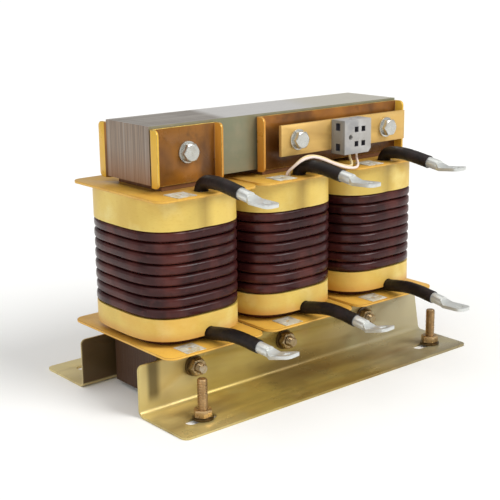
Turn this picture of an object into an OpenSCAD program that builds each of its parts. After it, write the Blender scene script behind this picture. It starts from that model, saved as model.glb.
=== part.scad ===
/* [Core] */
// Depth of the lamination stack, front to back
core_depth = 58; // [50:1:62]
// Height of each yoke
yoke_height = 44.5; // [42:0.5:52]
// Width of each limb
limb_width = 45; // [36:1:46]
// Distance between neighbouring limb axes
limb_pitch = 100; // [98:1:110]
// How far each yoke runs past the outer limbs
yoke_overhang = 10; // [4:1:14]
// Height of the window between the yokes
window_height = 125.5; // [120:0.5:140]
// Number of core blocks stacked in each limb
limb_blocks = 3; // [1:1:5]
// Thickness of each air-gap plate in a limb
air_gap = 2; // [1:0.5:4]
// Height of the lower yoke above the floor
core_lift = 5; // [3:1:8]

/* [Coils] */
// Width of one coil along the core
coil_width = 95; // [88:1:97]
// Depth of one coil, front to back
coil_depth = 108; // [100:1:116]
// Squareness of the coil's outline, where 2 is an oval
coil_squareness = 3.3; // [2.8:0.1:4]
// Turns in the outer layer
turns = 8; // [4:1:12]
// Height of the outer layer of turns
winding_height = 68.5; // [60:0.5:76]
// Radial thickness of one strand
strand_thickness = 6; // [4:0.5:8]
// Gap between neighbouring turns
turn_gap = 0.76; // [0.5:0.02:1.2]
// Height of the lower insulating band
lower_band_height = 17.3; // [12:0.1:24]
// Gap between the lower band and the lower flange
lower_band_gap = 5.5; // [3:0.5:8]
// Wall of the former tube
former_wall = 2; // [1:0.5:3]
// Clearance between a limb and its former tube
former_clearance = 0.5; // [0.2:0.1:0.8]
// Free height left above the coil formers
former_play = 5.5; // [3:0.5:9]
// Thickness of a coil flange
flange_thickness = 2; // [1.5:0.5:4]
// Width of a coil flange along the core
flange_width = 96; // [90:1:98]
// Depth of an upper coil flange
upper_flange_depth = 122; // [118:1:130]
// Depth of a lower coil flange
lower_flange_depth = 136; // [130:1:144]
// Corner radius of a coil flange
flange_corner = 9; // [4:1:14]

/* [Yoke clamps] */
// How far a clamp's bent ends stand out from the core
clamp_depth = 10.5; // [9:0.5:14]
// Height of a clamp
clamp_height = 44; // [36:1:44]
// Thickness of the clamp sheet
clamp_sheet = 2; // [1.5:0.5:3]
// Outer radius of the clamp's bends
clamp_bend = 3; // [3:0.5:5]
// Corner radius at the tips of a clamp's bent ends
clamp_tip_radius = 4; // [1:1:5]
// How far an upper clamp hangs below the yoke
clamp_drop = 1.5; // [0:0.5:3]
// How far the upper clamps end past the yoke
clamp_overrun = 0.5; // [0:0.5:2]
// Length of the short upper clamps
short_clamp = 62.6; // [50:0.2:70]
// Length of the long upper clamps
long_clamp = 162.6; // [150:0.2:170]
// Length of the lower clamps
lower_clamp = 240; // [230:2:260]

/* [Mounting rails] */
// Length of a rail
rail_length = 316; // [300:1:330]
// Thickness of the rail sheet
rail_sheet = 2; // [1.5:0.5:3]
// Width of a rail's foot flange
rail_flange = 60; // [50:1:70]
// Height of a rail's web
rail_web = 41.5; // [39:0.5:44]
// Outer radius of the rail's bend
rail_bend = 6; // [4:0.5:8]
// Corner radius of the foot flange
rail_corner = 5; // [2:1:8]
// Corner radius at the web's upper corners
web_corner = 4; // [2:1:6]
// How far the front web's right end slants in
web_slant = 6; // [0:1:9]
// Length of a fixing slot
slot_length = 28; // [22:1:34]
// Width of a fixing slot
slot_width = 9.5; // [9:0.5:11]
// Distance of the slot centres from the middle of the rail
slot_reach = 127; // [120:1:132]
// Distance of the slots from the foot's outer edge
slot_inset = 22; // [16:1:28]

/* [Fasteners] */
// Diameter of every clamping bolt and fixing stud
bolt_d = 8; // [7:0.5:8]
// Radial clearance of a bolt in its holes
bolt_clearance = 0.5; // [0.3:0.1:0.7]
// Diameter of a washer
washer_d = 17; // [15:0.5:18]
// Thickness of a washer
washer_thickness = 1.6; // [1:0.1:2]
// Width across flats of nuts and bolt heads
nut_width = 13; // [12:0.5:14]
// Height of a nut
nut_height = 6.5; // [5:0.5:7]
// Height of a bolt head
head_height = 5.3; // [4:0.1:6]
// Length of thread that stands out of a nut
thread_end = 5.4; // [2:0.2:8]
// Distance between the upper clamping bolts
upper_bolt_pitch = 103; // [98:1:106]
// Shift of the upper clamping bolts to the right
upper_bolt_shift = 4; // [0:1:6]
// Distance between the rail bolts
rail_bolt_pitch = 94.5; // [88:0.5:100]
// Shift of the rail bolts to the left
rail_bolt_shift = 11.5; // [4:0.5:14]
// Height of the rail bolts above the floor
rail_bolt_height = 30; // [24:0.5:31]
// Distance of the left fixing stud from the middle
left_stud_reach = 125; // [122:1:130]
// Distance of the right fixing stud from the middle
right_stud_reach = 133; // [124:1:134]
// Height of the fixing studs above the floor
stud_height = 34; // [24:1:44]

/* [Terminal bar and block] */
// Length of the terminal bar
bar_length = 144.6; // [136:0.2:150]
// Height of the terminal bar
bar_height = 25; // [20:1:30]
// Thickness of the terminal bar
bar_thickness = 3; // [2:0.5:4]
// Distance of the bar's right end from the clamp's right end
bar_inset = 2; // [0:0.5:6]
// Outer diameter of a bar spacer
spacer_d = 14; // [12:0.5:16]
// Width of the terminal block
block_width = 31; // [30:1:36]
// Depth of the terminal block
block_depth = 15.5; // [14:0.5:18]
// Height of the terminal block
block_height = 28.2; // [27:0.2:32]
// Distance of the block's middle from the bar's right end
block_reach = 73.5; // [66:0.5:80]
// How far the block's middle lies below the bar's
block_drop = 1.5; // [0:0.5:3]
// Distance between the block's poles
pole_pitch = 8; // [7:0.5:9]

/* [Leads] */
// Diameter of a lead conductor
conductor_d = 7; // [5:0.5:7]
// Bore of a sleeve, measured across its flats
sleeve_bore = 9.2; // [9.2:0.1:9.4]
// Outer diameter of a sleeve
sleeve_d = 10.8; // [10.4:0.1:11]
// Shift of the leads to the right of their coil's middle
lead_offset = 2; // [0:0.5:4]
// How far the upper leads rise behind the coil's front
upper_root_inset = 8; // [7.5:0.5:8.5]
// Reach of the curved part of an upper lead
upper_reach = 41; // [34:1:50]
// Height of an upper lead's arch above the coil
upper_arch = 10; // [9:0.5:12]
// Reach of the curved part of a lower lead
lower_reach = 55; // [48:1:64]
// Height of a lower lead's arch
lower_arch = 3; // [1:0.5:4]
// Height of the lower leads above the lower flange
lower_lead_rise = 6.3; // [6:0.1:7]
// Diameter of a lug's barrel
barrel_d = 9; // [8:0.1:9]
// Bore of a lug's barrel
barrel_bore = 7.2; // [7.2:0.1:7.6]
// Length of a lug's barrel
barrel_length = 15; // [12:0.5:18]
// Length of a lug's neck between barrel and palm
neck_length = 5; // [3:0.5:8]
// Length of a lug's palm
palm_length = 20; // [16:0.5:26]
// Width of a lug's palm
palm_width = 14; // [12:0.5:16]
// Thickness of a lug's palm
palm_thickness = 2.6; // [1.5:0.1:3]
// Diameter of the hole in a lug's palm
palm_hole_d = 6.5; // [5:0.5:8]

/* [Hidden] */
$fn = 48;
left = -1;
middle = 0;
right = 1;
// One overrun serves every cut
cut = 1;
// Clearances: sliding seats, threads, and the inner winding below the outer layer
seat_gap = 0.1;
thread_gap = 0.05;
layer_gap = 0.15;
// Heights of the stack, from the floor up
lower_yoke_top = core_lift + yoke_height;
upper_yoke_base = lower_yoke_top + window_height;
upper_bolt_z = upper_yoke_base + yoke_height / 2;
former_top = upper_yoke_base - former_play;
coil_base = lower_yoke_top + flange_thickness;
coil_top = former_top - flange_thickness;
lower_band_base = coil_base + lower_band_gap;
winding_base = lower_band_base + lower_band_height;
winding_top = winding_base + winding_height;
limb_block_height = (window_height - (limb_blocks + 1) * air_gap) / limb_blocks;
// Lengths along the core
yoke_length = 2 * limb_pitch + limb_width + 2 * yoke_overhang;
clamp_end = yoke_length / 2 + clamp_overrun;
bar_right = clamp_end - bar_inset;
bar_left = bar_right - bar_length;
// Depths, counted outward from the middle of the core
core_face = core_depth / 2;
clamp_face = core_face + clamp_sheet;
rail_face = core_face + clamp_depth;
bar_front = rail_face + bar_thickness;
rail_front = rail_face + rail_sheet;
foot_edge = rail_face + rail_flange;
// Former tube
former_inner = [limb_width + 2 * former_clearance, core_depth + 2 * former_clearance];
former_outer = former_inner + [2 * former_wall, 2 * former_wall];
// Outline of a coil: a rounded oblong with rings every fifteen degrees
loop_rings = 24;
ring_step = 360 / loop_rings;
smooth_points = 96;
strand_height = winding_height / turns - turn_gap;
strand_pitch = winding_height / turns;
strand_middle = strand_thickness / 2;
strand_bevel_share = 0.3;
// Rear positions of the loops, in ring steps past the rear middle
flat_start = 1;
flat_end = loop_rings - 1;
stop_ring = loop_rings - 2;
// End packers of the outer layer
packer_width = strand_thickness;
packer_climb_share = 0.1;
// Pocket and body of the thermal switch, just behind the front of the inner winding
winding_front = coil_depth / 2 - strand_thickness - layer_gap;
switch_size = [9, 5, 16];
switch_shift = -8.5;
switch_inset = 3.4;
switch_place = [switch_shift, switch_inset - winding_front];
switch_depth = 4.5;
pocket_clearance = 0.5;
wire_hole_d = 5.8;
// Marker plates on the flanges
marker_size = [18, 18, 0.5];
marker_hole_d = 3;
marker_offset = -21;
marker_shift = 3.5;
upper_marker_y = marker_shift - coil_depth / 2;
lower_marker_y = -marker_shift - coil_depth / 2;
// Bolt places
upper_bolts = [for (i = [-1:1]) upper_bolt_shift + i * upper_bolt_pitch];
rail_bolts = [for (i = [-1:1]) i * rail_bolt_pitch - rail_bolt_shift];
slot_y = foot_edge - slot_inset;
stud_places = [-left_stud_reach, right_stud_reach];
// Terminal block: wells, clamps and screws
block_x = bar_right - block_reach;
block_z = upper_bolt_z - block_drop;
pole_places = [block_x - 0.2 * pole_pitch, block_x + 0.8 * pole_pitch];
well_size = 4.4;
well_depth = 5;
well_reach = 6;
pole_clamp_size = [5.2, 5.4, 19];
pole_entry_d = 2.8;
pole_screw_d = 2.6;
pole_screw_head_d = 3.8;
pole_screw_head = 1.6;
pole_screw_grip = 3;
side_recess_size = [3.5, 5, 6];
side_recess_reach = 8.5;
fixing_place = block_x - 0.27 * block_width;
fixing_screw_d = 2.4;
fixing_head_d = 4.2;
fixing_head = 1.8;
fixing_sink = 3;
block_chamfer = 3;
driver_slot = [0.7, 0.8];
// Leads: routes as shares of reach and arch, then yaws and palm tilts in degrees
upper_route_shares = [[0, 0], [0, 0.28], [0.07, 0.74], [0.22, 0.97], [0.48, 1], [0.76, 0.86], [1, 0.68]];
lower_route_shares = [[0, 0], [0.12, 0.03], [0.32, 0.55], [0.56, 1], [0.8, 0.8], [1, 0.3]];
upper_reach_shares = [0.98, 1, 1.14];
lower_reach_shares = [0.96, 1.02, 1];
lower_arch_shares = [1, 1.3, 1];
upper_yaw = [3, 6, 1];
lower_yaw = [7, 5, 0];
upper_palm_tilt = [-2, 2, 6];
lower_palm_tilt = [14, 14, 2];
route_steps = 3;
sleeve_lap = 4;
barrel_start = 0.3;
conductor_grip = 11;
bore_depth = 13;
neck_root_share = 0.66;
palm_corner = 4.5;
palm_drop_share = 0.3;
palm_hole_inset = 7;
sleeve_sides = 12;
conductor_sides = 8;
sleeve_play = 0.4;
upper_root = coil_depth / 2 - upper_root_inset;
// Routes of the two thermal-switch wires: first from the middle of the block's back, then from above the switch
wire_d = 2.2;
wire_sides = 8;
wire_steps = 3;
block_middle = [block_x, -bar_front, block_z];
switch_top = [switch_place.x, switch_place.y, coil_top];
white_block_route = [[6.5, -7.7, -10.75], [6.5, -7.7, -18.75], [2.5, -13.5, -23.75], [-6.5, -19.5, -24.75],
    [-17.5, -20.5, -23.25], [-29.5, -20.1, -19.25], [-40.5, -19.5, -14.75]];
white_switch_route = [[16.5, -16.55, 16.5], [10.5, -14.95, 17.1], [3.9, -12.55, 15.3], [-0.3, -6.95, 9.7],
    [-1.3, -1.75, 5.1], [-1.3, 0, 1.5], [-1.3, 0, -switch_depth]];
cream_block_route = [[-1.5, -7.7, -10.75], [-1.5, -7.7, -17.75], [-3.9, -12.5, -22.15], [-10.5, -17.3, -23.35],
    [-19.5, -17.9, -21.55], [-30.5, -17.5, -17.75], [-40.5, -16.9, -13.35]];
cream_switch_route = [[16.5, -13.95, 17.5], [10.1, -12.35, 17.7], [5.3, -10.15, 15.5], [2.3, -5.55, 10.3],
    [1.3, -1.15, 5.5], [1.3, 0, 1.5], [1.3, 0, -switch_depth]];

// General shapes

// A box between two values on each axis
module span(x, y, z) {
    translate([x[0], y[0], z[0]])
        cube([x[1] - x[0], y[1] - y[0], z[1] - z[0]]);
}

// A flat outline with four equal round corners
module rounded_outline(size, radius) {
    square([size.x - 2 * radius, size.y], center = true);
    square([size.x, size.y - 2 * radius], center = true);
    for (x = [-1, 1])
        for (y = [-1, 1])
            translate([x * (size.x / 2 - radius), y * (size.y / 2 - radius)])
                circle(radius);
}

// A bent sheet's quarter ring, in the corner where both coordinates start
module bend_outline(radius, sheet) {
    intersection() {
        translate([radius, radius])
            difference() {
                circle(radius);
                circle(radius - sheet);
            }
        square(radius);
    }
}

// Points of an arc about a centre
function arc(centre, radius, start, stop, steps = 6) =
    [for (i = [0:steps])
        let (angle = start + (stop - start) * i / steps)
            centre + radius * [cos(angle), sin(angle)]];

// Stands what is drawn along X and Y up across the width, along Y and Z
module stand_along_x() {
    rotate([90, 0, 90])
        children();
}

// A round bar or bore that runs front to back
module rod(x, y, z, radius) {
    translate([x, y[0], z])
        rotate([-90, 0, 0])
            cylinder(h = y[1] - y[0], r = radius);
}

// A hexagonal bar that runs front to back
module hex_rod(x, y, z) {
    translate([x, y[0], z])
        rotate([-90, 0, 0])
            cylinder(h = y[1] - y[0], r = nut_width / 2 / cos(30), $fn = 6);
}

// Copies a front piece to the front, mirrored about the core's middle plane
module at_front() {
    mirror([0, 1, 0])
        children();
}

// Core

module yoke(base, bolts, height) {
    difference() {
        span([-yoke_length / 2, yoke_length / 2], [-core_face, core_face], [base, base + yoke_height]);
        for (x = bolts)
            rod(x, [-core_face - cut, core_face + cut], height, bolt_d / 2 + bolt_clearance);
    }
}

module bottom_yoke() {
    color("#8f8078")
        yoke(core_lift, rail_bolts, rail_bolt_height);
}

module top_yoke() {
    color("#a8a49c")
        yoke(upper_yoke_base, upper_bolts, upper_bolt_z);
}

// Base of the given core block in a limb
function block_base(i) = lower_yoke_top + air_gap + i * (limb_block_height + air_gap);

module limb(side) {
    color("#8a7d74")
        for (i = [0:limb_blocks - 1])
            translate([side * limb_pitch - limb_width / 2, -core_face, block_base(i)])
                cube([limb_width, core_depth, limb_block_height]);
}

module gap_spacers() {
    color("#c9b27a")
        for (side = [left, middle, right])
            for (i = [0:limb_blocks])
                translate([side * limb_pitch - limb_width / 2, -core_face, block_base(i) - air_gap])
                    cube([limb_width, core_depth, air_gap]);
}

// Yoke clamps: a web flat on the core with both ends bent outward

module clamp_plan(x0, x1) {
    translate([x0 + clamp_bend, 0])
        square([x1 - x0 - 2 * clamp_bend, clamp_sheet]);
    for (flip = [0, 1])
        translate([flip == 0 ? x0 : x1, 0])
            mirror([flip, 0]) {
                bend_outline(clamp_bend, clamp_sheet);
                translate([0, clamp_bend])
                    square([clamp_sheet, clamp_depth - clamp_bend]);
            }
}

module clamp_side() {
    tip = clamp_depth - clamp_tip_radius;
    polygon(concat(
        [[0, 0]],
        arc([tip, clamp_tip_radius], clamp_tip_radius, -90, 0),
        arc([tip, clamp_height - clamp_tip_radius], clamp_tip_radius, 0, 90),
        [[0, clamp_height]]
    ));
}

// Drawn outward from the core's rear face, with its base at the given height
module clamp(x0, x1, base, bolts, height) {
    color("#b87a2c")
        difference() {
            translate([0, core_face, base])
                intersection() {
                    linear_extrude(clamp_height)
                        clamp_plan(x0, x1);
                    translate([x0, 0, 0])
                        stand_along_x()
                            linear_extrude(x1 - x0)
                                clamp_side();
                }
            for (x = bolts)
                rod(x, [core_face - cut, clamp_face + cut], height, bolt_d / 2 + bolt_clearance);
        }
}

module left_clamp() {
    clamp(-clamp_end, -clamp_end + short_clamp, upper_yoke_base - clamp_drop, [upper_bolts[0]], upper_bolt_z);
}

module right_clamp() {
    clamp(clamp_end - long_clamp, clamp_end, upper_yoke_base - clamp_drop,
        [upper_bolts[1], upper_bolts[2]], upper_bolt_z);
}

module lower_clamp_plate() {
    clamp(-lower_clamp / 2, lower_clamp / 2, core_lift, rail_bolts, rail_bolt_height);
}

// Mounting rails: an angle whose bend faces the core

module rail_web_outline(slant) {
    half = rail_length / 2;
    top = rail_web - web_corner;
    polygon(concat(
        [[-half, rail_bend], [half, rail_bend]],
        arc([half - slant - web_corner, top], web_corner, 0, 90),
        arc([web_corner - half, top], web_corner, 90, 180)
    ));
}

module rail_foot_outline() {
    half = rail_length / 2 - rail_corner;
    edge = rail_flange - rail_corner;
    polygon(concat(
        [[-rail_length / 2, rail_bend], [rail_length / 2, rail_bend]],
        arc([half, edge], rail_corner, 0, 90),
        arc([-half, edge], rail_corner, 90, 180)
    ));
}

module slot(x) {
    half = (slot_length - slot_width) / 2;
    translate([x, rail_flange - slot_inset, -cut])
        linear_extrude(rail_sheet + 2 * cut) {
            square([2 * half, slot_width], center = true);
            for (end = [-half, half])
                translate([end, 0])
                    circle(slot_width / 2);
        }
}

module rail(slant) {
    color("#b0a050")
        translate([0, rail_face, 0])
            difference() {
                union() {
                    translate([0, rail_sheet, 0])
                        rotate([90, 0, 0])
                            linear_extrude(rail_sheet)
                                rail_web_outline(slant);
                    translate([-rail_length / 2, 0, 0])
                        stand_along_x()
                            linear_extrude(rail_length)
                                bend_outline(rail_bend, rail_sheet);
                    linear_extrude(rail_sheet)
                        rail_foot_outline();
                }
                for (x = [-slot_reach, slot_reach])
                    slot(x);
                for (x = rail_bolts)
                    rod(x, [-cut, rail_sheet + cut], rail_bolt_height, bolt_d / 2 + bolt_clearance);
            }
}

// Clamping bolts, nuts and washers

// Faces that each upper bolt clamps, in front of and behind the core
function upper_front(i) = i == 0 ? clamp_face : bar_front;

module washer_at(x, y, z) {
    difference() {
        rod(x, [y, y + washer_thickness], z, washer_d / 2);
        rod(x, [y - cut, y + washer_thickness + cut], z, bolt_d / 2 + bolt_clearance);
    }
}

module nut_at(x, y, z) {
    difference() {
        hex_rod(x, [y, y + nut_height], z);
        rod(x, [y - cut, y + nut_height + cut], z, bolt_d / 2 + thread_gap);
    }
}

module upper_clamp_bolts() {
    color("#cfc9a8")
        for (i = [0:2]) {
            seat = -upper_front(i) - washer_thickness;
            hex_rod(upper_bolts[i], [seat - head_height, seat], upper_bolt_z);
            rod(upper_bolts[i], [seat, clamp_face + washer_thickness + nut_height + thread_end], upper_bolt_z,
                bolt_d / 2);
        }
}

module rail_bolt_set() {
    seat = rail_front + washer_thickness;
    color("#a08a58")
        for (x = rail_bolts) {
            hex_rod(x, [seat, seat + head_height], rail_bolt_height);
            rod(x, [-seat - nut_height - thread_end, seat], rail_bolt_height, bolt_d / 2);
        }
}

module clamp_nuts() {
    color("#b8a868") {
        for (x = upper_bolts)
            nut_at(x, clamp_face + washer_thickness, upper_bolt_z);
        for (x = rail_bolts)
            nut_at(x, -rail_front - washer_thickness - nut_height, rail_bolt_height);
    }
}

module clamp_washers() {
    color("#d0c890") {
        for (i = [0:2]) {
            washer_at(upper_bolts[i], -upper_front(i) - washer_thickness, upper_bolt_z);
            washer_at(upper_bolts[i], clamp_face, upper_bolt_z);
        }
        for (x = rail_bolts) {
            washer_at(x, rail_front, rail_bolt_height);
            washer_at(x, -rail_front - washer_thickness, rail_bolt_height);
        }
    }
}

// Fixing studs that stand in the front foot's slots

module fixing_studs() {
    chamfer = bolt_d / 8;
    color("#a07c50")
        for (x = stud_places)
            translate([x, -slot_y, 0]) {
                cylinder(h = stud_height - chamfer, r = bolt_d / 2);
                translate([0, 0, stud_height - chamfer])
                    cylinder(h = chamfer, r1 = bolt_d / 2, r2 = bolt_d / 2 - chamfer);
            }
}

module fixing_nuts() {
    color("#b09058")
        for (x = stud_places)
            translate([x, -slot_y, rail_sheet + washer_thickness])
                difference() {
                    cylinder(h = nut_height, r = nut_width / 2 / cos(30), $fn = 6);
                    translate([0, 0, -cut])
                        cylinder(h = nut_height + 2 * cut, r = bolt_d / 2 + thread_gap);
                }
}

module fixing_washers() {
    color("#6f5a34")
        for (x = stud_places)
            translate([x, -slot_y, rail_sheet])
                difference() {
                    cylinder(h = washer_thickness, r = washer_d / 2);
                    translate([0, 0, -cut])
                        cylinder(h = washer_thickness + 2 * cut, r = bolt_d / 2 + bolt_clearance);
                }
}

// Terminal bar and its spacers

module terminal_bar() {
    color("#d8b058")
        difference() {
            span([bar_left, bar_right], [-bar_front, -rail_face],
                [upper_bolt_z - bar_height / 2, upper_bolt_z + bar_height / 2]);
            for (i = [1, 2])
                rod(upper_bolts[i], [-bar_front - cut, cut - rail_face], upper_bolt_z,
                    bolt_d / 2 + bolt_clearance);
            rod(fixing_place, [-bar_front - cut, cut - rail_face], block_z, fixing_screw_d / 2 + thread_gap);
        }
}

module bar_spacers() {
    color("#c8a850")
        for (i = [1, 2])
            difference() {
                rod(upper_bolts[i], [-rail_face, -clamp_face], upper_bolt_z, spacer_d / 2);
                rod(upper_bolts[i], [-rail_face - cut, cut - clamp_face], upper_bolt_z,
                    bolt_d / 2 + bolt_clearance);
            }
}

// Terminal block for the thermal switch

block_face = bar_front + block_depth;
pole_clamp_front = block_face - well_depth;

// Places of the four screw wells
function well_places() = [for (x = pole_places) for (z = [-well_reach, well_reach]) [x, block_z + z]];

module terminal_block() {
    low = block_z - block_height / 2;
    high = block_z + block_height / 2;
    room = pole_clamp_size + 2 * seat_gap * [1, 1, 1];
    color("#9a9a98")
        difference() {
            span([block_x - block_width / 2, block_x + block_width / 2], [-block_face, -bar_front], [low, high]);
            for (place = well_places())
                translate([place[0], -block_face, place[1]])
                    cube([well_size, 2 * (well_depth + cut), well_size], center = true);
            for (x = pole_places) {
                translate([x, seat_gap - pole_clamp_front + room.y / 2, block_z])
                    cube(room, center = true);
                translate([x, pole_clamp_size.y / 2 - pole_clamp_front, low - cut])
                    cylinder(h = block_height + 2 * cut, r = pole_entry_d / 2);
            }
            rod(fixing_place, [-block_face - cut, cut - bar_front], block_z, fixing_screw_d / 2 + seat_gap);
            rod(fixing_place, [-block_face - cut, fixing_sink + fixing_head - block_face], block_z,
                fixing_head_d / 2 + seat_gap);
            for (z = [-side_recess_reach, side_recess_reach])
                translate([block_x - block_width / 2, -(block_face + bar_front) / 2, block_z + z])
                    cube([2 * side_recess_size.x, side_recess_size.y, side_recess_size.z], center = true);
            translate([block_x + block_width / 2, -(block_face + bar_front) / 2, low])
                rotate([0, 45, 0])
                    cube([block_chamfer * sqrt(2), block_depth + 2 * cut, block_chamfer * sqrt(2)], center = true);
        }
}

module terminal_clamps() {
    color("#c9a24a")
        for (x = pole_places)
            difference() {
                translate([x, pole_clamp_size.y / 2 - pole_clamp_front, block_z])
                    cube(pole_clamp_size, center = true);
                translate([x, pole_clamp_size.y / 2 - pole_clamp_front, block_z - block_height / 2])
                    cylinder(h = block_height, r = pole_entry_d / 2);
                for (z = [-well_reach, well_reach])
                    rod(x, [-pole_clamp_front - cut, pole_clamp_size.y / 2 - pole_clamp_front], block_z + z,
                        pole_screw_d / 2 + thread_gap);
            }
}

// A slotted screw that points to the rear, its head's underside at y
module slotted_screw(x, y, z, shaft_d, grip, head_d, head) {
    difference() {
        union() {
            rod(x, [y - head, y], z, head_d / 2);
            rod(x, [y, y + grip], z, shaft_d / 2);
        }
        translate([x, y - head, z])
            cube([driver_slot.x, 2 * driver_slot.y, head_d + 2 * cut], center = true);
    }
}

module terminal_screws() {
    color("#d8d4c8") {
        for (place = well_places())
            slotted_screw(place[0], -pole_clamp_front, place[1], pole_screw_d,
                (pole_clamp_size.y - wire_d) / 2 - thread_gap, pole_screw_head_d, pole_screw_head);
        slotted_screw(fixing_place, fixing_sink + fixing_head - block_face, block_z, fixing_screw_d,
            block_depth - fixing_sink - fixing_head + bar_thickness, fixing_head_d, fixing_head);
    }
}

// Coil outline and turns

// A point of the coil's outline, at a depth below its surface
function coil_point(depth, angle) =
    let (power = 2 / coil_squareness, c = cos(angle), s = sin(angle))
        [sign(c) * pow(abs(c), power) * (coil_width / 2 - depth),
         sign(s) * pow(abs(s), power) * (coil_depth / 2 - depth)];

module coil_outline(depth, points) {
    polygon([for (i = [0:points - 1]) coil_point(depth, 360 * i / points)]);
}

// Angle of a ring, counted from the rear middle
function ring_angle(i) = 90 + i * ring_step;

// Section of a strand, as depth below the surface and height
strand_section = let (h = strand_height / 2, bevel = strand_bevel_share * strand_thickness)
    [[strand_thickness, -h], [strand_thickness, h], [bevel, h], [0, h - bevel], [0, bevel - h], [bevel, -h]];

function strand_ring(angle, height) =
    [for (p = strand_section)
        let (q = coil_point(p[0], angle))
            [q.x, q.y, height + p[1]]];

// A straight end of the strand, square to its run, beyond the ring at one angle towards another
function end_ring(angle, towards, height, facing) =
    let (from = coil_point(strand_middle, angle),
        run = coil_point(strand_middle, towards) - from,
        along = run / norm(run),
        out = facing * [along.y, -along.x],
        centre = from + strand_height * along)
        [for (p = strand_section)
            let (q = centre + out * (strand_middle - p[0]))
                [q.x, q.y, height + p[1]]];

// Height of a turn's middle
function turn_height(turn) = winding_base + (turn + 0.5) * strand_pitch;

// Every ring of one coil's outer layer: flat loops that climb across the rear middle
winding_rings = concat(
    [end_ring(ring_angle(flat_start + 1), ring_angle(flat_start), turn_height(0), -1)],
    [for (turn = [0:turns - 1])
        for (i = [(turn == 0 ? flat_start + 1 : flat_start):(turn == turns - 1 ? stop_ring : loop_rings)])
            strand_ring(ring_angle(i), turn_height(turn) + (i > flat_end ? strand_pitch / 2 : 0))],
    [end_ring(ring_angle(stop_ring), ring_angle(flat_end), turn_height(turns - 1), 1)]
);

// Least distance between rings about one loop apart
winding_gap = min([for (i = [0:len(winding_rings) - 1])
    for (j = [i + loop_rings - 2:i + loop_rings + 2])
        if (j < len(winding_rings))
            for (p = winding_rings[i])
                for (q = winding_rings[j])
                    norm(p - q)]);

// Faces of a tube from its rings, seen clockwise from outside
function side_faces(rings, sides, start, turned) =
    [for (i = [0:rings - 2])
        for (k = [0:sides - 1])
            let (a = start + i * sides + k,
                b = start + i * sides + (k + 1) % sides,
                c = b + sides,
                d = a + sides)
                for (face = turned ? [[a, c, d], [a, b, c]] : [[a, d, c], [a, c, b]])
                    face];

function cap_faces(sides, start, turned) =
    [for (k = [1:sides - 2])
        turned ? [start, start + k + 1, start + k] : [start, start + k, start + k + 1]];

function annulus_faces(sides, outer, inner, turned) =
    [for (k = [0:sides - 1])
        let (a = outer + k, b = outer + (k + 1) % sides, c = inner + (k + 1) % sides, d = inner + k)
            for (face = turned ? [[a, c, b], [a, d, c]] : [[a, b, c], [a, c, d]])
                face];

function joined(lists) = [for (list = lists) for (item = list) item];

module solid_tube(rings) {
    sides = len(rings[0]);
    last = (len(rings) - 1) * sides;
    polyhedron(
        points = joined(rings),
        faces = concat(side_faces(len(rings), sides, 0, false), cap_faces(sides, 0, false),
            cap_faces(sides, last, true))
    );
}

module hollow_tube(outer, inner) {
    sides = len(outer[0]);
    last = (len(outer) - 1) * sides;
    total = len(outer) * sides;
    polyhedron(
        points = concat(joined(outer), joined(inner)),
        faces = concat(side_faces(len(outer), sides, 0, false), side_faces(len(inner), sides, total, true),
            annulus_faces(sides, 0, total, false), annulus_faces(sides, last, total + last, true))
    );
}

// Coil pieces

module at_coil(side) {
    translate([side * limb_pitch, 0, 0])
        children();
}

module former_tube(side) {
    color("#c8a040")
        at_coil(side)
            translate([0, 0, lower_yoke_top])
                linear_extrude(former_top - lower_yoke_top)
                    difference() {
                        square(former_outer, center = true);
                        square(former_inner, center = true);
                    }
}

module flange_plate(depth, base) {
    translate([0, 0, base])
        linear_extrude(flange_thickness)
            difference() {
                rounded_outline([flange_width, depth], flange_corner);
                square(former_outer + 2 * seat_gap * [1, 1], center = true);
            }
}

module upper_flange(side) {
    color("#d8b454")
        at_coil(side)
            difference() {
                flange_plate(upper_flange_depth, coil_top);
                translate([lead_offset, -upper_root, coil_top - cut])
                    cylinder(h = flange_thickness + 2 * cut, r = sleeve_d / 2 + sleeve_play);
                if (side == middle)
                    translate([switch_place.x, switch_place.y, coil_top - cut])
                        cylinder(h = flange_thickness + 2 * cut, r = wire_hole_d / 2);
            }
}

module lower_flange(side) {
    color("#d8b454")
        at_coil(side)
            flange_plate(lower_flange_depth, lower_yoke_top);
}

module inner_winding(side) {
    room = switch_size + 2 * pocket_clearance * [1, 1, 0];
    color("#8a4a32")
        at_coil(side)
            difference() {
                translate([0, 0, coil_base])
                    linear_extrude(coil_top - coil_base)
                        difference() {
                            coil_outline(strand_thickness + layer_gap, loop_rings);
                            square(former_outer + 2 * seat_gap * [1, 1], center = true);
                        }
                if (side == middle)
                    translate([switch_place.x - room.x / 2, switch_place.y - room.y / 2,
                        coil_top - switch_depth - switch_size.z])
                        cube([room.x, room.y, switch_size.z + switch_depth + cut]);
            }
}

module outer_winding(side) {
    color("#45262b")
        at_coil(side)
            solid_tube(winding_rings);
}

module band_ring(base, top) {
    translate([0, 0, base])
        linear_extrude(top - base)
            difference() {
                coil_outline(0, smooth_points);
                coil_outline(strand_thickness, loop_rings);
            }
}

// The packer that a strand's end butts against, next to the rear middle
module end_packer(angle, towards, low, high) {
    from = coil_point(strand_middle, angle);
    run = coil_point(strand_middle, towards) - from;
    along = run / norm(run);
    intersection() {
        band_ring(low, high);
        translate([from.x, from.y, low])
            rotate([0, 0, atan2(along.y, along.x)])
                translate([strand_height + seat_gap, -coil_depth / 4, 0])
                    cube([packer_width, coil_depth / 2, high - low]);
    }
}

module upper_band(side) {
    color("#e0cc78")
        at_coil(side) {
            band_ring(winding_top, coil_top);
            end_packer(ring_angle(stop_ring), ring_angle(flat_end),
                winding_top - strand_pitch + packer_climb_share * strand_height, winding_top);
        }
}

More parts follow.
